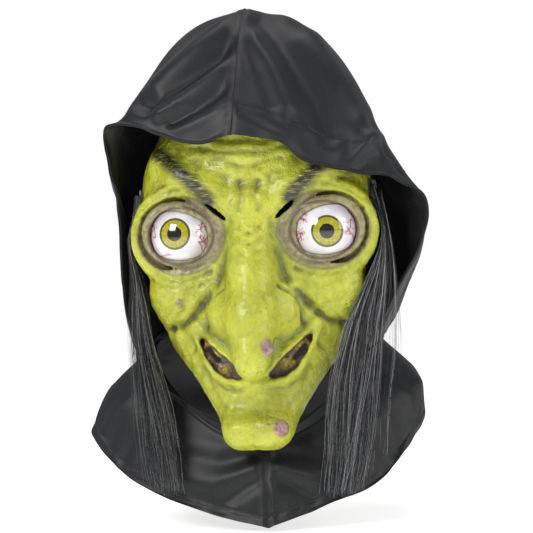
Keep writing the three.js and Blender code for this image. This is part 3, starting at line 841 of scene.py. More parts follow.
for side, name in ((LEFT, "left_eye_dome"), (RIGHT, "right_eye_dome")):
    widest = math.acos(1 - DOME_DEPTH / BALL_RADIUS)
    turn, swing = np.meshgrid(
        np.linspace(0, widest, rings + 1)[1:],
        np.linspace(0, 2 * math.pi, spokes, endpoint=False),
        indexing="ij",
    )
    ball_x = BALL_RADIUS * np.sin(turn) * np.cos(swing)
    ball_z = BALL_RADIUS * np.sin(turn) * np.sin(swing)
    ball_f = BALL_RADIUS * np.cos(turn)
    flat_eye = np.column_stack([ball_x.ravel(), ball_z.ravel()])
    dome = np.column_stack([ball_x.ravel(), ball_f.ravel(), ball_z.ravel()])
    tip, back = len(dome), len(dome) + 1
    dome = np.vstack([dome, (0, BALL_RADIUS, 0), (0, BALL_RADIUS - DOME_DEPTH, 0)])
    flat_eye = np.vstack([flat_eye, (0, 0), (0, 0)])
    cells = []
    for j in range(spokes):
        k = (j + 1) % spokes
        cells.append((tip, k, j))
        cells.append((back, (rings - 1) * spokes + j, (rings - 1) * spokes + k))
        for ring in range(0, (rings - 1) * spokes, spokes):
            cells.append((ring + j, ring + k, ring + spokes + k, ring + spokes + j))
    at = dome + (side * EYE_X, BALL_FORWARD, EYE_Z)
    mesh = bpy.data.meshes.new(name + "_gloss")
    mesh.from_pydata((at * (1, -1, 1) * MM).tolist(), [], cells)
    mesh.materials.append(eye_gloss)
    mesh.polygons.foreach_set("use_smooth", [True] * len(mesh.polygons))
    eye = bpy.data.objects.new(name + "_gloss", mesh)
    bpy.context.scene.collection.objects.link(eye)
    from_gaze = np.hypot(*(flat_eye - GAZE[side]).T)
    angle = np.arctan2(*(flat_eye - GAZE[side]).T)
    vein = np.zeros(len(dome))
    for corner in (0, math.pi):
        for k in range(5):
            start_turn = corner + 0.32 * (k - 2) + chance.normal(0, 0.06)
            start = (30 * math.cos(start_turn), 30 * math.sin(start_turn))
            heading = math.atan2(GAZE[side][1] - start[1], GAZE[side][0] - start[0]) + 0.4 * (k - 2)
            for path, width in grow_veins(start, heading, 0.42, 10):
                vein = np.maximum(vein, np.clip(1.5 - distance_to(path, flat_eye) / width, 0, 1))
    store(eye, "gaze", from_gaze)
    store(eye, "fleck", 0.5 + 0.5 * np.sin(angle * 23 + 2 * np.sin(angle * 7)))
    store(eye, "vein", vein * (from_gaze > IRIS_RADIUS + 1))
    store(eye, "rim_shade", np.clip((np.hypot(*flat_eye.T) - 19) / 10, 0, 1))
    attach(eye, "mask_body")
    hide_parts(name)


# ---------------------------------------------------------------------------
# Hood. Two panels of polyester satin joined over the crown, with the free
# edge turned back as a wide stitched hem. Each panel is laid on its cut
# shape, then settled as cloth, so that it sags and wrinkles between its seams.
# ---------------------------------------------------------------------------
CLOTH = 0.9
HEM_WIDTH = 30.0
SEAM_HALF = 0.1
MOST_SAG = 1.2


def through(values, t):
    """Points at t, from 0 to 1, on the smooth curve through evenly spaced values."""
    values = np.asarray(values, float)
    last = len(values) - 1
    s = np.clip(np.asarray(t, float) * last, 0, last)
    i = np.minimum(s.astype(int), last - 1)
    u = (s - i).reshape(-1, *([1] * (values.ndim - 1)))
    p0, p1, p2, p3 = (values[np.clip(i + k, 0, last)] for k in (-1, 0, 1, 2))
    m1, m2 = (p2 - p0) / 2, (p3 - p1) / 2
    return (
        (2 * u**3 - 3 * u**2 + 1) * p1 + (u**3 - 2 * u**2 + u) * m1
        + (3 * u**2 - 2 * u**3) * p2 + (u**3 - u**2) * m2
    )


def skin_grid(curves, across, along):
    """A grid of points: rows run across the curves, columns run along each."""
    runs = np.stack([through(curve, np.linspace(0, 1, along + 1)) for curve in curves])
    return through(runs, np.linspace(0, 1, across + 1))


def grid_normals(grid, side):
    """Unit normals of a grid of points, outwards for that side of the mask."""
    rows, columns = np.gradient(grid, axis=0), np.gradient(grid, axis=1)
    cross = np.cross(rows, columns) * -side
    return cross / np.maximum(np.linalg.norm(cross, axis=2, keepdims=True), 1e-9)


def travelled(grid, axis):
    """Millimetres along the grid from its first row or column."""
    steps = np.linalg.norm(np.diff(grid, axis=axis), axis=2)
    start = np.zeros_like(np.take(steps, [0], axis=axis))
    return np.cumsum(np.concatenate([start, steps], axis=axis), axis=axis)


def grid_faces(rows, columns):
    """Quads over a grid whose points are numbered row by row."""
    i, j = np.meshgrid(np.arange(rows - 1), np.arange(columns - 1), indexing="ij")
    a = (i * columns + j).ravel()
    return np.column_stack([a, a + 1, a + columns + 1, a + columns])


def settle(name, grid, held, side, frames=18, spare=0.018, cap=6.0, pull=0.35):
    """Cloth that starts on the grid with a little spare length, held where held is 1."""
    rows, columns = grid.shape[:2]
    mesh = bpy.data.meshes.new(name)
    mesh.from_pydata((grid.reshape(-1, 3) * MM).tolist(), [], grid_faces(rows, columns).tolist())
    piece = bpy.data.objects.new(name, mesh)
    bpy.context.scene.collection.objects.link(piece)
    pins = piece.vertex_groups.new(name="pins")
    for n, value in enumerate(held.ravel()):
        if value > 0:
            pins.add([n], float(value), "REPLACE")
    cloth = piece.modifiers.new("cloth", "CLOTH")
    settings = cloth.settings
    settings.quality = 6
    settings.mass = 0.12
    settings.tension_stiffness = 18
    settings.compression_stiffness = 14
    settings.shear_stiffness = 6
    settings.bending_stiffness = 1.2
    settings.shrink_min = -spare
    settings.vertex_group_mass = "pins"
    settings.effector_weights.gravity = pull
    cloth.collision_settings.use_collision = False
    cloth.collision_settings.use_self_collision = False
    cloth.point_cache.frame_start = 1
    cloth.point_cache.frame_end = frames + 1
    scene = bpy.context.scene
    for frame_number in range(1, frames + 1):
        scene.frame_set(frame_number)
    graph = bpy.context.evaluated_depsgraph_get()
    settled = piece.evaluated_get(graph).data
    flat_list = np.zeros(len(settled.vertices) * 3, dtype=np.float32)
    settled.vertices.foreach_get("co", flat_list)
    moved = flat_list.reshape(grid.shape) / MM - grid
    bpy.data.objects.remove(piece)
    bpy.data.meshes.remove(mesh)
    scene.frame_set(1)
    for _ in range(3):
        moved[1:-1] = (moved[:-2] + 2 * moved[1:-1] + moved[2:]) / 4
        moved[:, 1:-1] = (moved[:, :-2] + 2 * moved[:, 1:-1] + moved[:, 2:]) / 4
    out = grid_normals(grid, side)
    inward = np.sum(moved * out, axis=2, keepdims=True)
    moved += out * np.maximum(0, -MOST_SAG - inward)
    far = np.linalg.norm(moved, axis=2, keepdims=True)
    return grid + moved * np.minimum(1, cap / np.maximum(far, 1e-6))


def finer(grid, times):
    """The same surface on a finer grid."""
    rows, columns = grid.shape[:2]
    tall = through(grid, np.linspace(0, 1, (rows - 1) * times + 1))
    wide = through(tall.transpose(1, 0, 2), np.linspace(0, 1, (columns - 1) * times + 1))
    return wide.transpose(1, 0, 2)


def ripple(grid, paths, side):
    """How deep each point lies in folds drawn as bent lines seen from the front."""
    flat_grid = grid.reshape(-1, 3)[:, [0, 2]]
    depth = np.zeros(len(flat_grid))
    for path, width, size in paths:
        gap = distance_to(path, flat_grid)
        shoulders = np.exp(-(((gap - 2 * width) / width) ** 2))
        depth += size * (np.exp(-((gap / width) ** 2)) - 0.35 * shoulders)
    faces_front = np.clip(-grid_normals(grid, side)[..., 1] * 2 + 0.4, 0, 1)
    return depth.reshape(grid.shape[:2]) * faces_front


def thick_sheet(name, grid, normal, high, low, material, fix=None):
    """A closed thin sheet between two offsets of a grid. fix(points) settles its seam edges."""
    rows, columns = grid.shape[:2]
    top, bottom = grid + normal * high, grid + normal * low
    if fix:
        fix(top)
        fix(bottom)
    count = rows * columns
    faces = grid_faces(rows, columns)
    ring = np.concatenate(
        [
            np.arange(columns),
            np.arange(1, rows) * columns + columns - 1,
            (rows - 1) * columns + np.arange(columns - 2, -1, -1),
            np.arange(rows - 2, 0, -1) * columns,
        ]
    )
    after = np.roll(ring, -1)
    walls = np.column_stack([ring, ring + count, after + count, after])
    every = np.concatenate([faces[:, ::-1], faces + count, walls[:, ::-1]])
    all_points = np.concatenate([top.reshape(-1, 3), bottom.reshape(-1, 3)])
    middle = len(faces) // 2
    a, b, c, d = all_points[every[middle]]
    if np.dot(np.cross(c - a, d - b), normal.reshape(-1, 3)[faces[middle, 0]]) < 0:
        every = every[:, ::-1]
    made = make_object(name, all_points, every, material)
    spun = np.stack([travelled(grid, 0), travelled(grid, 1), np.zeros((rows, columns))], axis=2)
    spun = spun.reshape(-1, 3)
    store(made, "cloth_mm", np.concatenate([spun, spun]), "FLOAT_VECTOR")
    return made


# Polyester satin: nearly black, with a soft sheen along its floating threads and a faint grain.
# The real weave is far finer than this grain, which is drawn coarse enough to show.
satin, tree, shader = new_material("polyester satin", Roughness=0.5, IOR=1.5)
cloth_place = add_node(tree, "ShaderNodeAttribute", attribute_name="cloth_mm").outputs["Vector"]
shade = ramp(noise_value(40, 3), (0.3, "#060709"), (0.7, "#0D0E11"))
shade = paint_over(shade, "#232529", ramp(noise_value(1.1, 2, 0.7), (0.45, 0.0), (0.7, 0.6)))
tree.links.new(shade, shader.inputs["Base Color"])
shader.inputs["Sheen Weight"].default_value = 0.06
shader.inputs["Specular IOR Level"].default_value = 0.4
shader.inputs["Sheen Roughness"].default_value = 0.45
shader.inputs["Sheen Tint"].default_value = linear("#9A9CA2")
shader.inputs["Anisotropic"].default_value = 0.5
weave = add_node(
    tree,
    "ShaderNodeTexWave",
    [("Vector", cloth_place)],
    bands_direction="DIAGONAL",
    Scale=0.45,
    Distortion=0.6,
)
fine = add_node(tree, "ShaderNodeBump", [("Height", weave.outputs["Fac"])], Strength=0.10, Distance=0.0001)
crumple = noise_value(34, 2, 0.5)
broad = add_node(
    tree, "ShaderNodeBump", [("Height", crumple), ("Normal", fine.outputs[0])], Strength=0.12, Distance=0.005
)
tree.links.new(broad.outputs[0], shader.inputs["Normal"])

# Woven tape is dull and ribbed across its width, so it stays darker than the satin.
tape_cloth, tree, shader = new_material("woven black tape", Roughness=0.75)
cloth_place = add_node(tree, "ShaderNodeAttribute", attribute_name="cloth_mm").outputs["Vector"]
shade = ramp(noise_value(3, 3), (0.3, "#161618"), (0.7, "#242426"))
tree.links.new(shade, shader.inputs["Base Color"])
weave = add_node(tree, "ShaderNodeTexWave", [("Vector", cloth_place)], bands_direction="X", Scale=0.3)
rib = add_node(tree, "ShaderNodeBump", [("Height", weave.outputs["Fac"])], Strength=0.4, Distance=0.0003)
tree.links.new(rib.outputs[0], shader.inputs["Normal"])

BRIM = (-12, -132, 97)
THROAT = (5, -97, -191)
NAPE = (0, 87, -87)
NECK = {
    RIGHT: [THROAT, (52, -82, -173), (92, -55, -135), (108, 0, -99), (78, 57, -91), NAPE],
    LEFT: [THROAT, (-46, -84, -174), (-94, -57, -133), (-112, 0, -97), (-80, 57, -91), NAPE],
}
CROWN = [BRIM, (-9, -120, 135), (-8, -60, 206), (-9, 5, 229), (-6, 72, 203), (0, 112, 150)]
BACK_SEAM = [CROWN[5], (0, 122, 70), (0, 114, 0), (0, 98, -50), NAPE]
# Each hoop runs down one side, from the crown seam to the neck seam. The first is the free edge.
HOOPS = {
    RIGHT: [
        [(30, -130, 89), (54, -124, 71), (93, -110, 60), (133, -98, 53), (163, -85, 32), (158, -80, -4),
         (134, -76, -48), (108, -74, -92), (80, -84, -138)],
        [(38, -113, 122), (80, -100, 106), (122, -84, 88), (152, -68, 44), (153, -60, 0), (136, -56, -46),
         (112, -54, -96)],
        [(44, -57, 193), (86, -44, 161), (112, -36, 120), (132, -34, 66), (134, -32, 8), (122, -28, -46),
         (108, -34, -96)],
        [(32, 5, 218), (62, 4, 197), (86, 3, 167), (106, 3, 124), (117, 4, 62), (117, 4, 0), (112, 4, -56)],
        [(32, 72, 190), (64, 70, 160), (88, 65, 112), (98, 61, 50), (96, 60, -10), (86, 58, -56)],
    ],
    LEFT: [
        [(-47, -126, 91), (-81, -115, 102), (-104, -105, 111), (-137, -86, 114), (-137, -84, 84),
         (-131, -79, 44), (-130, -75, -2), (-129, -72, -54), (-112, -74, -104), (-78, -85, -146)],
        [(-50, -112, 135), (-88, -98, 137), (-119, -76, 126), (-129, -66, 92), (-129, -58, 40),
         (-128, -55, -12), (-125, -53, -60), (-112, -56, -106)],
        [(-52, -56, 199), (-92, -43, 175), (-111, -36, 144), (-122, -34, 96), (-124, -32, 38),
         (-124, -30, -24), (-114, -38, -94)],
        [(-42, 5, 221), (-68, 4, 206), (-95, 3, 177), (-109, 3, 136), (-117, 4, 72), (-120, 4, 2),
         (-116, 4, -54)],
        [(-36, 72, 192), (-68, 70, 162), (-90, 66, 114), (-99, 62, 52), (-98, 60, -8), (-90, 58, -56)],
    ],
}
# Folds of the hood as seen from the front: a bent line, its width and how deep it goes.
HOOD_FOLDS = {
    RIGHT: [
        ([(12, 214), (40, 178), (66, 132), (78, 96)], 11, -4.0),
        ([(4, 190), (22, 160), (36, 122)], 9, 3.4),
        ([(56, 190), (88, 140), (110, 84)], 10, 3.0),
        ([(118, 110), (138, 70), (146, 30)], 7, -3.0),
        ([(150, 20), (132, -40), (112, -84)], 6, 3.0),
        ([(139, 24), (120, -36), (100, -80)], 5, -3.0),
        ([(92, 62), (112, 88), (128, 96)], 6, 2.6),
    ],
    LEFT: [
        ([(-18, 208), (-52, 180), (-84, 148)], 10, 4.0),
        ([(-14, 186), (-50, 160), (-96, 132)], 8, -3.6),
        ([(-14, 164), (-46, 142), (-80, 122)], 7, 3.2),
        ([(-16, 140), (-44, 122), (-70, 112)], 5, -2.0),
        ([(-124, 96), (-122, 40), (-118, -20)], 7, -3.2),
        ([(-133, 90), (-131, 30), (-127, -30)], 5, 2.4),
        ([(-126, -40), (-112, -90), (-92, -124)], 6, -3.0),
    ],
}
ACROSS, ALONG, FINER = 44, 60, 3
CAD_ACROSS, CAD_ALONG = 18, 24
hood_grids, hood_normals, hood_sheets = {}, {}, {}
for side, hand in ((LEFT, "left"), (RIGHT, "right")):
    hoops = [[CROWN[k]] + HOOPS[side][k] + [NECK[side][k]] for k in range(5)] + [BACK_SEAM]
    coarse = skin_grid(hoops, ACROSS, ALONG)
    held = np.zeros(coarse.shape[:2])
    held[:, 0] = held[-1, :] = held[:, -1] = 1
    held[0, :] = 1
    grid = finer(settle(hand + "_hood_settling", coarse, held, side), FINER)
    normal = grid_normals(grid, side)
    from_brim, from_crown = travelled(grid, 0), travelled(grid, 1)
    to_neck = from_crown[:, -1:] - from_crown
    free = np.clip(from_crown / 16, 0, 1) * np.clip(to_neck / 14, 0, 1)
    free *= np.clip((from_brim[-1:] - from_brim) / 14, 0, 1)
    push = 1.4 * ripple(grid, HOOD_FOLDS[side], side) * free * np.clip(from_brim / 14, 0.3, 1)
    stitch_line = np.exp(-(((from_brim - HEM_WIDTH) / 1.6) ** 2))
    pucker = np.sin(from_crown / 2.3 + 1.5 * np.sin(from_crown / 9))
    pucker = pucker * np.exp(-(((from_brim - HEM_WIDTH) / 7) ** 2))
    push += (-0.5 * stitch_line + 0.2 * pucker) * free
    scallop = 0.5 * np.sin(from_crown / 7 + 2 * np.sin(from_crown / 31))
    push += scallop * np.exp(-((from_brim / 16) ** 2)) * free
    seam_gap = np.minimum(from_crown, from_brim[-1:] - from_brim)
    seam_pucker = np.sin(from_brim / 2.6 + 2 * np.sin(from_brim / 13)) * np.clip(seam_gap / 3, 0, 1)
    push += -0.7 * np.exp(-((seam_gap / 2.0) ** 2)) + 0.4 * np.exp(-(((seam_gap - 5) / 3.5) ** 2))
    push += 0.2 * seam_pucker * np.exp(-((seam_gap / 9) ** 2))
    push += 0.25 * np.sin(from_brim / 2.4) * np.exp(-((to_neck / 8) ** 2)) * np.clip(to_neck / 3, 0, 1)
    grid = grid + normal * push[..., None]
    normal = grid_normals(grid, side)

    def close_seams(at, side=side, grid=grid):
        """Brings the crown and back seams to the middle, and the neck edge to its own height."""
        at[:, 0, 0] = grid[:, 0, 0] + side * SEAM_HALF
        at[-1, :, 0] = grid[-1, :, 0] + side * SEAM_HALF
        at[:, -1, 2] = grid[:, -1, 2]

    hood_grids[side], hood_normals[side] = grid, normal
    panel = thick_sheet(hand + "_hood_satin", grid, normal, 0.0, -CLOTH, satin, close_seams)
    rows = slice(0, round(4 / CAD_ACROSS * (len(grid) - 1)) + 1)
    columns = slice(round(1 / CAD_ALONG * grid.shape[1]), round((1 - 3 / CAD_ALONG) * grid.shape[1]))
    part, way = grid[rows, columns], normal[rows, columns]
    hem = thick_sheet(hand + "_turned_hem", part, way, -CLOTH - 0.5, -CLOTH - 1.4, satin)
    rows = slice(round(4 / CAD_ACROSS * (len(grid) - 1)), round((1 - 1 / CAD_ACROSS) * (len(grid) - 1)))
    columns = slice(round((1 - 1 / CAD_ALONG) * grid.shape[1]), round((1 - 0.2 / CAD_ALONG) * grid.shape[1]))
    part, way = grid[rows, columns], normal[rows, columns]
    tape = thick_sheet(hand + "_neck_tape", part, way, -CLOTH - 0.5, -CLOTH - 1.3, tape_cloth)
    for piece, node, slot in (
        (panel, hand + "_hood_panel", "black_satin"),
        (hem, hand + "_brim_hem", "black_tape"),
        (tape, hand + "_neck_seam_tape", "black_tape"),
    ):
        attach(piece, "mask_body")
        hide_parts(node)
    hood_sheets[side] = panel


# ---------------------------------------------------------------------------
# Shoulder cape. Two more satin panels hang from the neck seam, meet at a seam
# down the front and another down the back, and end in a narrow rolled hem.
# ---------------------------------------------------------------------------
FRONT_SEAM = [(5, -109, -228), (6, -118, -266)]
CAPE_BACK = [(0, 110, -150), (0, 122, -250)]
COLUMNS = {
    RIGHT: [
        FRONT_SEAM,
        [(58, -98, -212), (62, -106, -247)],
        [(110, -68, -172), (114, -76, -224)],
        [(146, -8, -137), (150, -12, -175)],
        [(110, 74, -132), (120, 84, -206)],
        CAPE_BACK,
    ],
    LEFT: [
        FRONT_SEAM,
        [(-52, -98, -214), (-62, -102, -249)],
        [(-118, -66, -168), (-136, -64, -219)],
        [(-158, -8, -136), (-176, -14, -178)],
        [(-118, 74, -130), (-128, 84, -208)],
        CAPE_BACK,
    ],
}
CAPE_FOLDS = {
    RIGHT: [
        ([(14, -200), (46, -205), (84, -196)], 7, -1.5),
        ([(16, -210), (50, -222), (92, -214)], 7, 1.4),
        ([(18, -222), (48, -240)], 6, -1.2),
        ([(92, -142), (116, -168), (124, -204)], 6, -2.4),
        ([(112, -132), (136, -156), (140, -180)], 6, 2.2),
    ],
    LEFT: [
        ([(-6, -200), (-40, -206), (-78, -198)], 7, -1.5),
        ([(-8, -212), (-46, -226), (-88, -220)], 7, 1.4),
        ([(-8, -226), (-40, -246)], 6, -1.2),
        ([(-96, -142), (-122, -170), (-136, -204)], 6, -2.4),
        ([(-118, -136), (-146, -160), (-158, -182)], 6, 2.2),
    ],
}
NECK_GAP = 0.8
NECK_LAP, NECK_TUCK = 3.0, 0.98  # the top edge goes up inside the hood, which is sewn over it
cape_grids, cape_normals = {}, {}
for side, hand in ((LEFT, "left"), (RIGHT, "right")):
    columns = [[np.array(NECK[side][k]) - (0, 0, NECK_GAP)] + COLUMNS[side][k] for k in range(6)]
    coarse = skin_grid(columns, 60, 28)
    held = np.zeros(coarse.shape[:2])
    held[:, 0] = held[0, :] = held[-1, :] = 1
    held[:, -1] = 1
    grid = finer(settle(hand + "_cape_settling", coarse, held, side, spare=0.02, cap=4.0), FINER)
    normal = grid_normals(grid, side)
    from_front, from_neck = travelled(grid, 0), travelled(grid, 1)
    to_hem = from_neck[:, -1:] - from_neck
    free = np.clip(from_front / 12, 0, 1) * np.clip(from_neck / 12, 0, 1)
    free *= np.clip((from_front[-1:] - from_front) / 12, 0, 1)
    push = ripple(grid, CAPE_FOLDS[side], side) * free
    share = from_front / from_front[-1:]
    push += 2.0 * np.sin(share * 38 + 3 * np.sin(share * 9)) * (from_neck / from_neck.max()) * free
    seam_gap = np.minimum(from_front, from_front[-1:] - from_front)
    push += -1.0 * np.exp(-((seam_gap / 2.0) ** 2)) + 0.8 * np.exp(-(((seam_gap - 5) / 3) ** 2))
    push += -0.5 * np.exp(-(((to_hem - 9) / 1.3) ** 2)) + 0.3 * np.exp(-((to_hem / 4) ** 2))
    push += 0.3 * np.sin(from_front / 2.5) * np.exp(-(((to_hem - 9) / 5) ** 2)) * free
    grid = grid + normal * push[..., None]
    normal = grid_normals(grid, side)

    def close_seams(at, side=side, grid=grid):
        """Brings the front and back seams to the middle, and tucks the neck edge into the hood."""
        at[0, :, 0] = grid[0, :, 0] + side * SEAM_HALF
        at[-1, :, 0] = grid[-1, :, 0] + side * SEAM_HALF
        at[:, 0, 2] += NECK_LAP
        at[:, 0, :2] *= NECK_TUCK

    cape_grids[side], cape_normals[side] = grid, normal
    cape = thick_sheet(hand + "_cape_satin", grid, normal, 0.0, -CLOTH, satin, close_seams)
    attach(cape, "mask_body")
    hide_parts(hand + "_cape_panel")


# ---------------------------------------------------------------------------
# Stitches. Black polyester thread runs along the hood's hem, beside its crown
# seam, along the cape's hem and beside its front seam, as a lockstitch.
# ---------------------------------------------------------------------------
STITCH_LENGTH, STITCH_WIDTH, STITCH_PITCH = 2.6, 0.55, 3.3
# Spun polyester thread: a dull black line that catches a little light at the top of each stitch.
thread, tree, shader = new_material("black polyester thread", Roughness=0.5)
shade = ramp(noise_value(2, 2), (0.3, "#0E0E10"), (0.7, "#1D1D20"))
tree.links.new(shade, shader.inputs["Base Color"])
shader.inputs["Sheen Weight"].default_value = 0.2
stitch_points, stitch_edges, stitch_up = [], [], []


def stitch_row(path, ups):
    """Adds one row of stitches along a list of points, lifted a little off the cloth."""
    first = len(stitch_points)
    stitch_points.extend(((path + ups * 0.15) * MM).tolist())
    stitch_up.extend(ups.tolist())
    stitch_edges.extend((first + k, first + k + 1) for k in range(len(path) - 1))


def level_line(grid, normal, distance, wanted):
    """The points of each column of a grid where a distance that grows down its rows is the one wanted."""
    rows = np.argmax(distance >= wanted, axis=0)
    ranks = np.arange(grid.shape[1])
    return grid[rows, ranks], normal[rows, ranks]


for side in (LEFT, RIGHT):
    grid, normal = hood_grids[side], hood_normals[side]
    path, ups = level_line(grid, normal, travelled(grid, 0), HEM_WIDTH)
    stitch_row(path[6:-12], ups[6:-12])
    swapped = grid.transpose(1, 0, 2), normal.transpose(1, 0, 2)
    path, ups = level_line(*swapped, travelled(swapped[0], 0), 5.0)
    stitch_row(path[2:], ups[2:])
    grid, normal = cape_grids[side], cape_normals[side]
    distance = travelled(grid, 1)
    distance = (distance[:, -1:] - distance)[:, ::-1].transpose(1, 0)
    swapped = grid[:, ::-1].transpose(1, 0, 2), normal[:, ::-1].transpose(1, 0, 2)
    path, ups = level_line(*swapped, distance, 9.0)
    stitch_row(path[3:-3], ups[3:-3])
    path, ups = level_line(grid, normal, travelled(grid, 0), 4.5)
    stitch_row(path[4:-4], ups[4:-4])

mesh = bpy.data.meshes.new("hem_stitches")
mesh.from_pydata(stitch_points, stitch_edges, [])
stitches = bpy.data.objects.new("hem_stitches", mesh)
bpy.context.scene.collection.objects.link(stitches)
store(stitches, "up", stitch_up, "FLOAT_VECTOR")


def node_group(name, sizes):
    """A geometry node tree on one mesh, with named number inputs. Gives it and its two end nodes."""
    group = bpy.data.node_groups.new(name, "GeometryNodeTree")
    group.interface.new_socket("Geometry", in_out="INPUT", socket_type="NodeSocketGeometry")
    group.interface.new_socket("Geometry", in_out="OUTPUT", socket_type="NodeSocketGeometry")
    for label in sizes:
        group.interface.new_socket(label, in_out="INPUT", socket_type="NodeSocketFloat")
    return group, group.nodes.new("NodeGroupInput"), group.nodes.new("NodeGroupOutput")


def grow(obj, group, sizes):
    """Runs a node tree on an object with these sizes and leaves a plain mesh."""
    modifier = obj.modifiers.new(group.name, "NODES")
    modifier.node_group = group
    for item in group.interface.items_tree:
        if item.in_out == "INPUT" and item.name in sizes:
            modifier[item.identifier] = float(sizes[item.name])
    bake(obj)


sizes = {"Pitch": STITCH_PITCH * MM, "Length": STITCH_LENGTH * MM, "Thread": STITCH_WIDTH * MM}
tree, ends, out = node_group("stitches along a path", sizes)
curve = add_node(tree, "GeometryNodeMeshToCurve", [("Mesh", ends.outputs["Geometry"])])
spots = add_node(tree, "GeometryNodeCurveToPoints", [("Curve", curve.outputs[0])], mode="LENGTH")
tree.links.new(ends.outputs["Pitch"], spots.inputs["Length"])
blob = add_node(tree, "GeometryNodeMeshUVSphere", Segments=6, Rings=5, Radius=0.5)
size = add_node(
    tree,
    "ShaderNodeCombineXYZ",
    [("X", ends.outputs["Thread"]), ("Y", ends.outputs["Thread"]), ("Z", ends.outputs["Length"])],
)
placed = add_node(
    tree,
    "GeometryNodeInstanceOnPoints",
    [
        ("Points", spots.outputs["Points"]),
        ("Instance", blob.outputs["Mesh"]),
        ("Rotation", spots.outputs["Rotation"]),
    ],
)
tree.links.new(size.outputs[0], placed.inputs["Scale"])
real = add_node(tree, "GeometryNodeRealizeInstances", [("Geometry", placed.outputs[0])])
painted = add_node(tree, "GeometryNodeSetMaterial", [("Geometry", real.outputs[0])])
painted.inputs["Material"].default_value = thread
tree.links.new(painted.outputs[0], out.inputs["Geometry"])
grow(stitches, tree, sizes)
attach(stitches, "mask_body")


# ---------------------------------------------------------------------------
# Joining tapes. Strips of woven tape are glued round the outside of the latex
# rim, and the hood is sewn to them. They follow the skin they are glued to.
# ---------------------------------------------------------------------------
face_tree = BVHTree.FromPolygons(
    (points * (1, -1, 1)).tolist(), quads.tolist(), all_triangles=False
)


def on_skin(start, way, tree=face_tree):
    """Where a ray from outside meets the latex, or another surface, in millimetres, or None."""
    hit = tree.ray_cast(Vector(start), Vector(way))[0]
    return None if hit is None else np.array(hit)


def strip_on_face(name, starts, ways, low, high, material):
    """A closed strip that lies on the latex between two heights above it.

    starts and ways give a ray for each point of a grid, and high may differ over the grid."""
    grid = np.zeros(starts.shape)
    for index in np.ndindex(starts.shape[:2]):
        found = on_skin(starts[index], ways[index])
        grid[index] = found if found is not None else np.nan
    for _ in range(3):
        for index in np.ndindex(starts.shape[:2]):
            if np.isnan(grid[index]).any():
                near = grid[max(index[0] - 1, 0) : index[0] + 2, max(index[1] - 1, 0) : index[1] + 2]
                grid[index] = np.nanmean(near.reshape(-1, 3), axis=0)
    for _ in range(2):
        grid[1:-1] = (grid[:-2] + 2 * grid[1:-1] + grid[2:]) / 4
    away = -ways / np.linalg.norm(ways, axis=2, keepdims=True)
    lift = np.broadcast_to(np.asarray(high, float), starts.shape[:2])[..., None]
    level = float(np.mean(high))
    return thick_sheet(name, grid + away * (lift - level), away, level, low, material)


OUTSIDE = 170.0  # rays start this far out to the side of the latex, and FAR_FRONT ahead of it
FAR_FRONT = -190.0


def side_rays(side, y, z):
    """Rays that come in from one side at each place of a grid."""
    starts = np.stack([np.full(z.shape, side * OUTSIDE), y, z], axis=2)
    ways = np.broadcast_to(np.array((-side, 0.0, 0.0)), starts.shape).copy()
    return starts, ways


# Wool felt: flecked mid grey, with no highlight and a furry edge.
felt, tree, shader = new_material("grey wool felt", Roughness=0.95)
shade = ramp(noise_value(3, 6, 0.7), (0.35, "#5B5D60"), (0.65, "#8B8D90"))
tree.links.new(shade, shader.inputs["Base Color"])
shader.inputs["Sheen Weight"].default_value = 0.5
fuzz_height = noise_value(0.9, 6, 0.7)
fuzz = add_node(tree, "ShaderNodeBump", [("Height", fuzz_height)], Strength=0.7, Distance=0.0008)
tree.links.new(fuzz.outputs[0], shader.inputs["Normal"])

tape_low, tape_high = box_mm("left_join_tape")
top_low, top_high = box_mm("forehead_join_tape")
pad_low, pad_high = box_mm("right_felt_pad")
z, from_rim = np.meshgrid(
    np.linspace(tape_low[2] + 1, tape_high[2] - 1, 60), np.linspace(1.0, 6.5, 6), indexing="ij"
)
rim_y = -(np.interp(z, [p[0] for p in RIM], [p[1] for p in RIM]) + from_rim)
for side, hand in ((LEFT, "left"), (RIGHT, "right")):
    tape = strip_on_face(hand + "_rim_tape", *side_rays(side, rim_y, z), 0.2, 1.6, tape_cloth)
    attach(tape, "mask_body")
    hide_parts(hand + "_join_tape")
z, x = np.meshgrid(
    np.linspace(top_low[2] + 1, top_high[2] - 1, 6),
    np.linspace(top_low[0] + 8, top_high[0] - 8, 40),
    indexing="ij",
)
starts = np.stack([x, np.full(z.shape, FAR_FRONT), z], axis=2)
ways = np.broadcast_to(np.array((0.0, 1.0, 0.0)), starts.shape).copy()
tape = strip_on_face("forehead_rim_tape", starts, ways, 0.2, 1.2, tape_cloth)
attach(tape, "mask_body")
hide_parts("forehead_join_tape")


# ---------------------------------------------------------------------------
# Felt pads and hair wefts. A soft pad over each temple anchors the hair, whose
# ends are machine-sewn into a short band behind it.
# ---------------------------------------------------------------------------
# A weft is hair ends sewn flat in rows, so it looks streaked and ribbed.
weft_cloth, tree, shader = new_material("machine-sewn weft", Roughness=0.6)
place = add_node(tree, "ShaderNodeAttribute", attribute_name="cloth_mm").outputs["Vector"]
rows_of_hair = add_node(
    tree, "ShaderNodeTexWave", [("Vector", place)], bands_direction="X", Scale=0.25, Distortion=2
)
shade = ramp(rows_of_hair.outputs["Fac"], (0.2, "#1C1D1F"), (0.8, "#55565A"))
tree.links.new(shade, shader.inputs["Base Color"])
ribs = add_node(
    tree, "ShaderNodeBump", [("Height", rows_of_hair.outputs["Fac"])], Strength=0.6, Distance=0.0005
)
tree.links.new(ribs.outputs[0], shader.inputs["Normal"])
PAD_ROWS, PAD_COLUMNS = 40, 12
pad_trees = {}
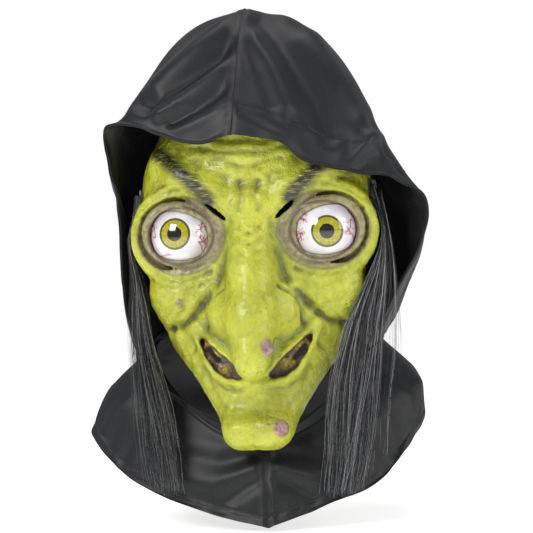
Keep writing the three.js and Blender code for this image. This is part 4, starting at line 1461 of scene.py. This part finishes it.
for side, hand in ((LEFT, "left"), (RIGHT, "right")):
    heights = np.linspace(pad_low[2] + 1, pad_high[2] - 1, PAD_ROWS)
    z, y = np.meshgrid(heights, np.linspace(pad_high[1] + 0.5, pad_low[1] - 0.5, PAD_COLUMNS), indexing="ij")
    up_and_down = np.sin(math.pi * np.linspace(0.04, 0.96, PAD_ROWS))[:, None]
    crown = up_and_down * np.sin(math.pi * np.linspace(0.1, 0.9, PAD_COLUMNS))[None]
    pad_height = 2.0 + 4.0 * crown**0.6
    pad = strip_on_face(hand + "_felt", *side_rays(side, y, z), 0.3, pad_height, felt)
    pad_trees[side] = BVHTree.FromPolygons(
        [v.co / MM for v in pad.data.vertices], [tuple(p.vertices) for p in pad.data.polygons]
    )
    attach(pad, "mask_body")
    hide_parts(hand + "_felt_pad")
    weft_low, weft_high = box_mm(hand + "_hair_weft")
    weft_places = np.linspace(weft_high[1] - 0.5, weft_low[1] + 0.5, PAD_COLUMNS)
    z, y = np.meshgrid(heights, weft_places, indexing="ij")
    weft = strip_on_face(hand + "_weft", *side_rays(side, y, z), 0.3, 1.6, weft_cloth)
    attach(weft, "mask_body")
    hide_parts(hand + "_hair_weft")


# ---------------------------------------------------------------------------
# Hair. Long modacrylic fibre in mixed greys, a few bright and a few nearly
# black. Each lock hangs in loose strands from the temple and flies away a
# little. Guide strands are laid by the path of the lock, and each is doubled.
# ---------------------------------------------------------------------------
GUIDES, GUIDE_POINTS, STRAND_COPIES = 84, 24, 11
STRAND_WIDTH, HAIR_CLEARANCE = 0.30, 2.0
HAIR_SPREAD, HAIR_WAVE = 4.6, 18.0
LOCKS = {
    RIGHT: (
        [
            (110, -60, 48), (114, -79, -22), (101, -97, -88),
            (90, -104, -150), (85, -107, -200), (79, -114, -240),
        ],
        [(5, 4), (9, 6), (17, 7), (20, 7), (19, 6), (17, 5)],
    ),
    LEFT: (
        [
            (-109, -60, 48), (-112, -77, -22), (-108, -94, -85),
            (-100, -101, -140), (-94, -103, -190), (-89, -106, -234),
        ],
        [(4, 4), (4, 5), (7, 6), (12, 7), (14, 6), (14, 5)],
    ),
}
# Modacrylic fibre is smooth and a little shiny, and each strand has its own grey.
hair, tree, shader = new_material("modacrylic hair", Roughness=0.38)
strand_shade = face_mask("shade")
hair_colour = ramp(
    strand_shade, (0.0, "#080809"), (0.5, "#1A1B1D"), (0.8, "#46474A"), (0.96, "#C0C1C4")
)
tree.links.new(hair_colour, shader.inputs["Base Color"])
shader.inputs["Anisotropic"].default_value = 0.6
streak = add_node(tree, "ShaderNodeBump", [("Height", noise_value(0.6, 2))], Strength=0.15, Distance=0.0002)
tree.links.new(streak.outputs[0], shader.inputs["Normal"])

sizes = {
    "Strand width": STRAND_WIDTH * MM,
    "Spread": HAIR_SPREAD * MM,
    "Wave": HAIR_WAVE * MM,
    "Wave length": 0.11,
}
tree, ends, out = node_group("strands round each guide", sizes)
curve = add_node(tree, "GeometryNodeMeshToCurve", [("Mesh", ends.outputs["Geometry"])])
doubled = add_node(
    tree,
    "GeometryNodeDuplicateElements",
    [("Geometry", curve.outputs[0])],
    domain="SPLINE",
    Amount=STRAND_COPIES,
)
along = add_node(tree, "GeometryNodeSplineParameter").outputs["Factor"]
strand_id = add_node(tree, "GeometryNodeInputNamedAttribute", data_type="FLOAT", Name="guide")
number = add_node(tree, "ShaderNodeMath", [(0, strand_id.outputs["Attribute"])], operation="MULTIPLY_ADD")
number.inputs[1].default_value = STRAND_COPIES
tree.links.new(doubled.outputs["Duplicate Index"], number.inputs[2])
offset = add_node(tree, "FunctionNodeRandomValue", [("ID", number.outputs[0])], data_type="FLOAT_VECTOR")
offset.inputs[0].default_value = (-1, -1, -0.2)
offset.inputs[1].default_value = (1, 1, 0.2)
offset.inputs["Seed"].default_value = 7
spread = add_node(tree, "ShaderNodeMath", [(0, along), (1, ends.outputs["Spread"])], operation="MULTIPLY")
widened = add_node(tree, "ShaderNodeMath", [(0, spread.outputs[0])], operation="ADD")
widened.inputs[1].default_value = 0.6 * MM
shift = add_node(
    tree, "ShaderNodeVectorMath", [(0, offset.outputs[0]), ("Scale", widened.outputs[0])], operation="SCALE"
)
place = add_node(tree, "GeometryNodeInputPosition").outputs[0]
drift = add_node(tree, "ShaderNodeVectorMath", [(0, place)], operation="ADD")
jitter = add_node(tree, "ShaderNodeVectorMath", [(0, offset.outputs[0])], operation="SCALE", Scale=0.06)
tree.links.new(jitter.outputs[0], drift.inputs[1])
inverse = add_node(tree, "ShaderNodeMath", [(1, ends.outputs["Wave length"])], operation="DIVIDE")
inverse.inputs[0].default_value = 1.0
wander = add_node(
    tree, "ShaderNodeTexNoise", [("Vector", drift.outputs[0]), ("Scale", inverse.outputs[0])], Detail=2.0
)
centred = add_node(tree, "ShaderNodeVectorMath", [(0, wander.outputs["Color"])], operation="SUBTRACT")
centred.inputs[1].default_value = (0.5, 0.5, 0.5)
wave = add_node(tree, "ShaderNodeMath", [(0, along), (1, ends.outputs["Wave"])], operation="MULTIPLY")
waved = add_node(
    tree, "ShaderNodeVectorMath", [(0, centred.outputs[0]), ("Scale", wave.outputs[0])], operation="SCALE"
)
both = add_node(
    tree, "ShaderNodeVectorMath", [(0, shift.outputs[0]), (1, waved.outputs[0])], operation="ADD"
)
moved = add_node(
    tree, "GeometryNodeSetPosition", [("Geometry", doubled.outputs[0]), ("Offset", both.outputs[0])]
)
tone = add_node(tree, "FunctionNodeRandomValue", [("ID", number.outputs[0])], data_type="FLOAT")
tone.inputs["Seed"].default_value = 19
toned = add_node(
    tree,
    "GeometryNodeStoreNamedAttribute",
    [("Geometry", moved.outputs[0])],
    data_type="FLOAT",
    domain="POINT",
)
toned.inputs["Name"].default_value = "shade"
tree.links.new(tone.outputs[1], toned.inputs["Value"])
taper = add_node(tree, "ShaderNodeMapRange", [("Value", along)], To_Min=1.0, To_Max=0.35)
radius = add_node(
    tree, "ShaderNodeMath", [(0, taper.outputs[0]), (1, ends.outputs["Strand width"])], operation="MULTIPLY"
)
sized = add_node(
    tree, "GeometryNodeSetCurveRadius", [("Curve", toned.outputs[0]), ("Radius", radius.outputs[0])]
)
profile = add_node(tree, "GeometryNodeCurvePrimitiveCircle", Resolution=3, Radius=0.5)
tube = add_node(
    tree, "GeometryNodeCurveToMesh", [("Curve", sized.outputs[0]), ("Profile Curve", profile.outputs[0])]
)
tube.inputs["Fill Caps"].default_value = True
tree.links.new(radius.outputs[0], tube.inputs["Scale"])
real = add_node(tree, "GeometryNodeRealizeInstances", [("Geometry", tube.outputs[0])])
painted = add_node(tree, "GeometryNodeSetMaterial", [("Geometry", real.outputs[0])])
painted.inputs["Material"].default_value = hair
tree.links.new(painted.outputs[0], out.inputs["Geometry"])

# A lock swings on a hinge across the mask, so a strand keeps its distance from the middle of the
# face. Each strand hangs far enough out to pass the skin and the pad at seven angles across the swing.
swings = {joint["name"]: joint for joint in frame["joints"]}
SWING_STEPS = 7
for side, hand in ((LEFT, "left"), (RIGHT, "right")):
    hinge = swings[hand + "_hair_swing"]
    _, hinge_y, hinge_z = (value / MM for value in hinge["pos_m"])
    swing_angles = np.radians(np.linspace(*hinge["range_deg"], SWING_STEPS))
    chance = np.random.default_rng(97 + side)
    path, half_sizes = LOCKS[side]
    guide_points, guide_edges, guide_of = [], [], []
    for g in range(GUIDES):
        turn, reach = chance.uniform(0, 2 * math.pi), math.sqrt(chance.uniform(0, 1))
        flyaway = 1.7 if g % 12 == 0 else 1.0
        stop = chance.uniform(0.80, 1.0) if g % 5 else chance.uniform(0.5, 0.85)
        sway = chance.normal(0, 0.28, 2)
        first = len(guide_points)
        t = np.linspace(chance.uniform(0, 0.06), stop, GUIDE_POINTS)
        centre, half = through(path, t), through(half_sizes, t)
        reach_x = reach * math.cos(turn) + sway[0] * np.sin(3 * t + g)
        reach_y = reach * math.sin(turn) + sway[1] * np.sin(4 * t + g)
        sideways = half[:, 0] * reach_x * flyaway
        at = centre + np.column_stack([sideways, half[:, 1] * reach_y, np.zeros(len(t))])
        need = np.zeros(len(at))
        spare = HAIR_CLEARANCE + 0.8 * (HAIR_SPREAD + HAIR_WAVE / 2) * t
        for k, (_, y, z) in enumerate(at):
            for angle in swing_angles:
                forward = (y - hinge_y) * math.cos(angle) + (z - hinge_z) * math.sin(angle)
                up = (z - hinge_z) * math.cos(angle) - (y - hinge_y) * math.sin(angle)
                for tree_there in (face_tree, pad_trees[side]):
                    start = (side * OUTSIDE, hinge_y + forward, hinge_z + up)
                    skin = on_skin(start, (-side, 0, 0), tree_there)
                    if skin is not None:
                        need[k] = max(need[k], abs(skin[0]) + spare[k] - abs(at[k, 0]))
        for _ in range(4):
            need[1:-1] = np.maximum(need[1:-1], (need[:-2] + need[2:]) / 2)
        at[:, 0] += side * need
        guide_points.extend((at * MM).tolist())
        guide_edges.extend((first + k, first + k + 1) for k in range(GUIDE_POINTS - 1))
        guide_of.extend([g] * GUIDE_POINTS)
    mesh = bpy.data.meshes.new(hand + "_hair")
    mesh.from_pydata(guide_points, guide_edges, [])
    lock = bpy.data.objects.new(hand + "_hair_strands", mesh)
    bpy.context.scene.collection.objects.link(lock)
    store(lock, "guide", guide_of)
    grow(lock, tree, sizes)
    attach(lock, hand + "_hair")
    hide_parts(hand + "_hair_lock")


# ---------------------------------------------------------------------------
# Finish.
# ---------------------------------------------------------------------------
rows = [[list(map(float, corner)) for corner in both] for both in (cad_box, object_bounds())]
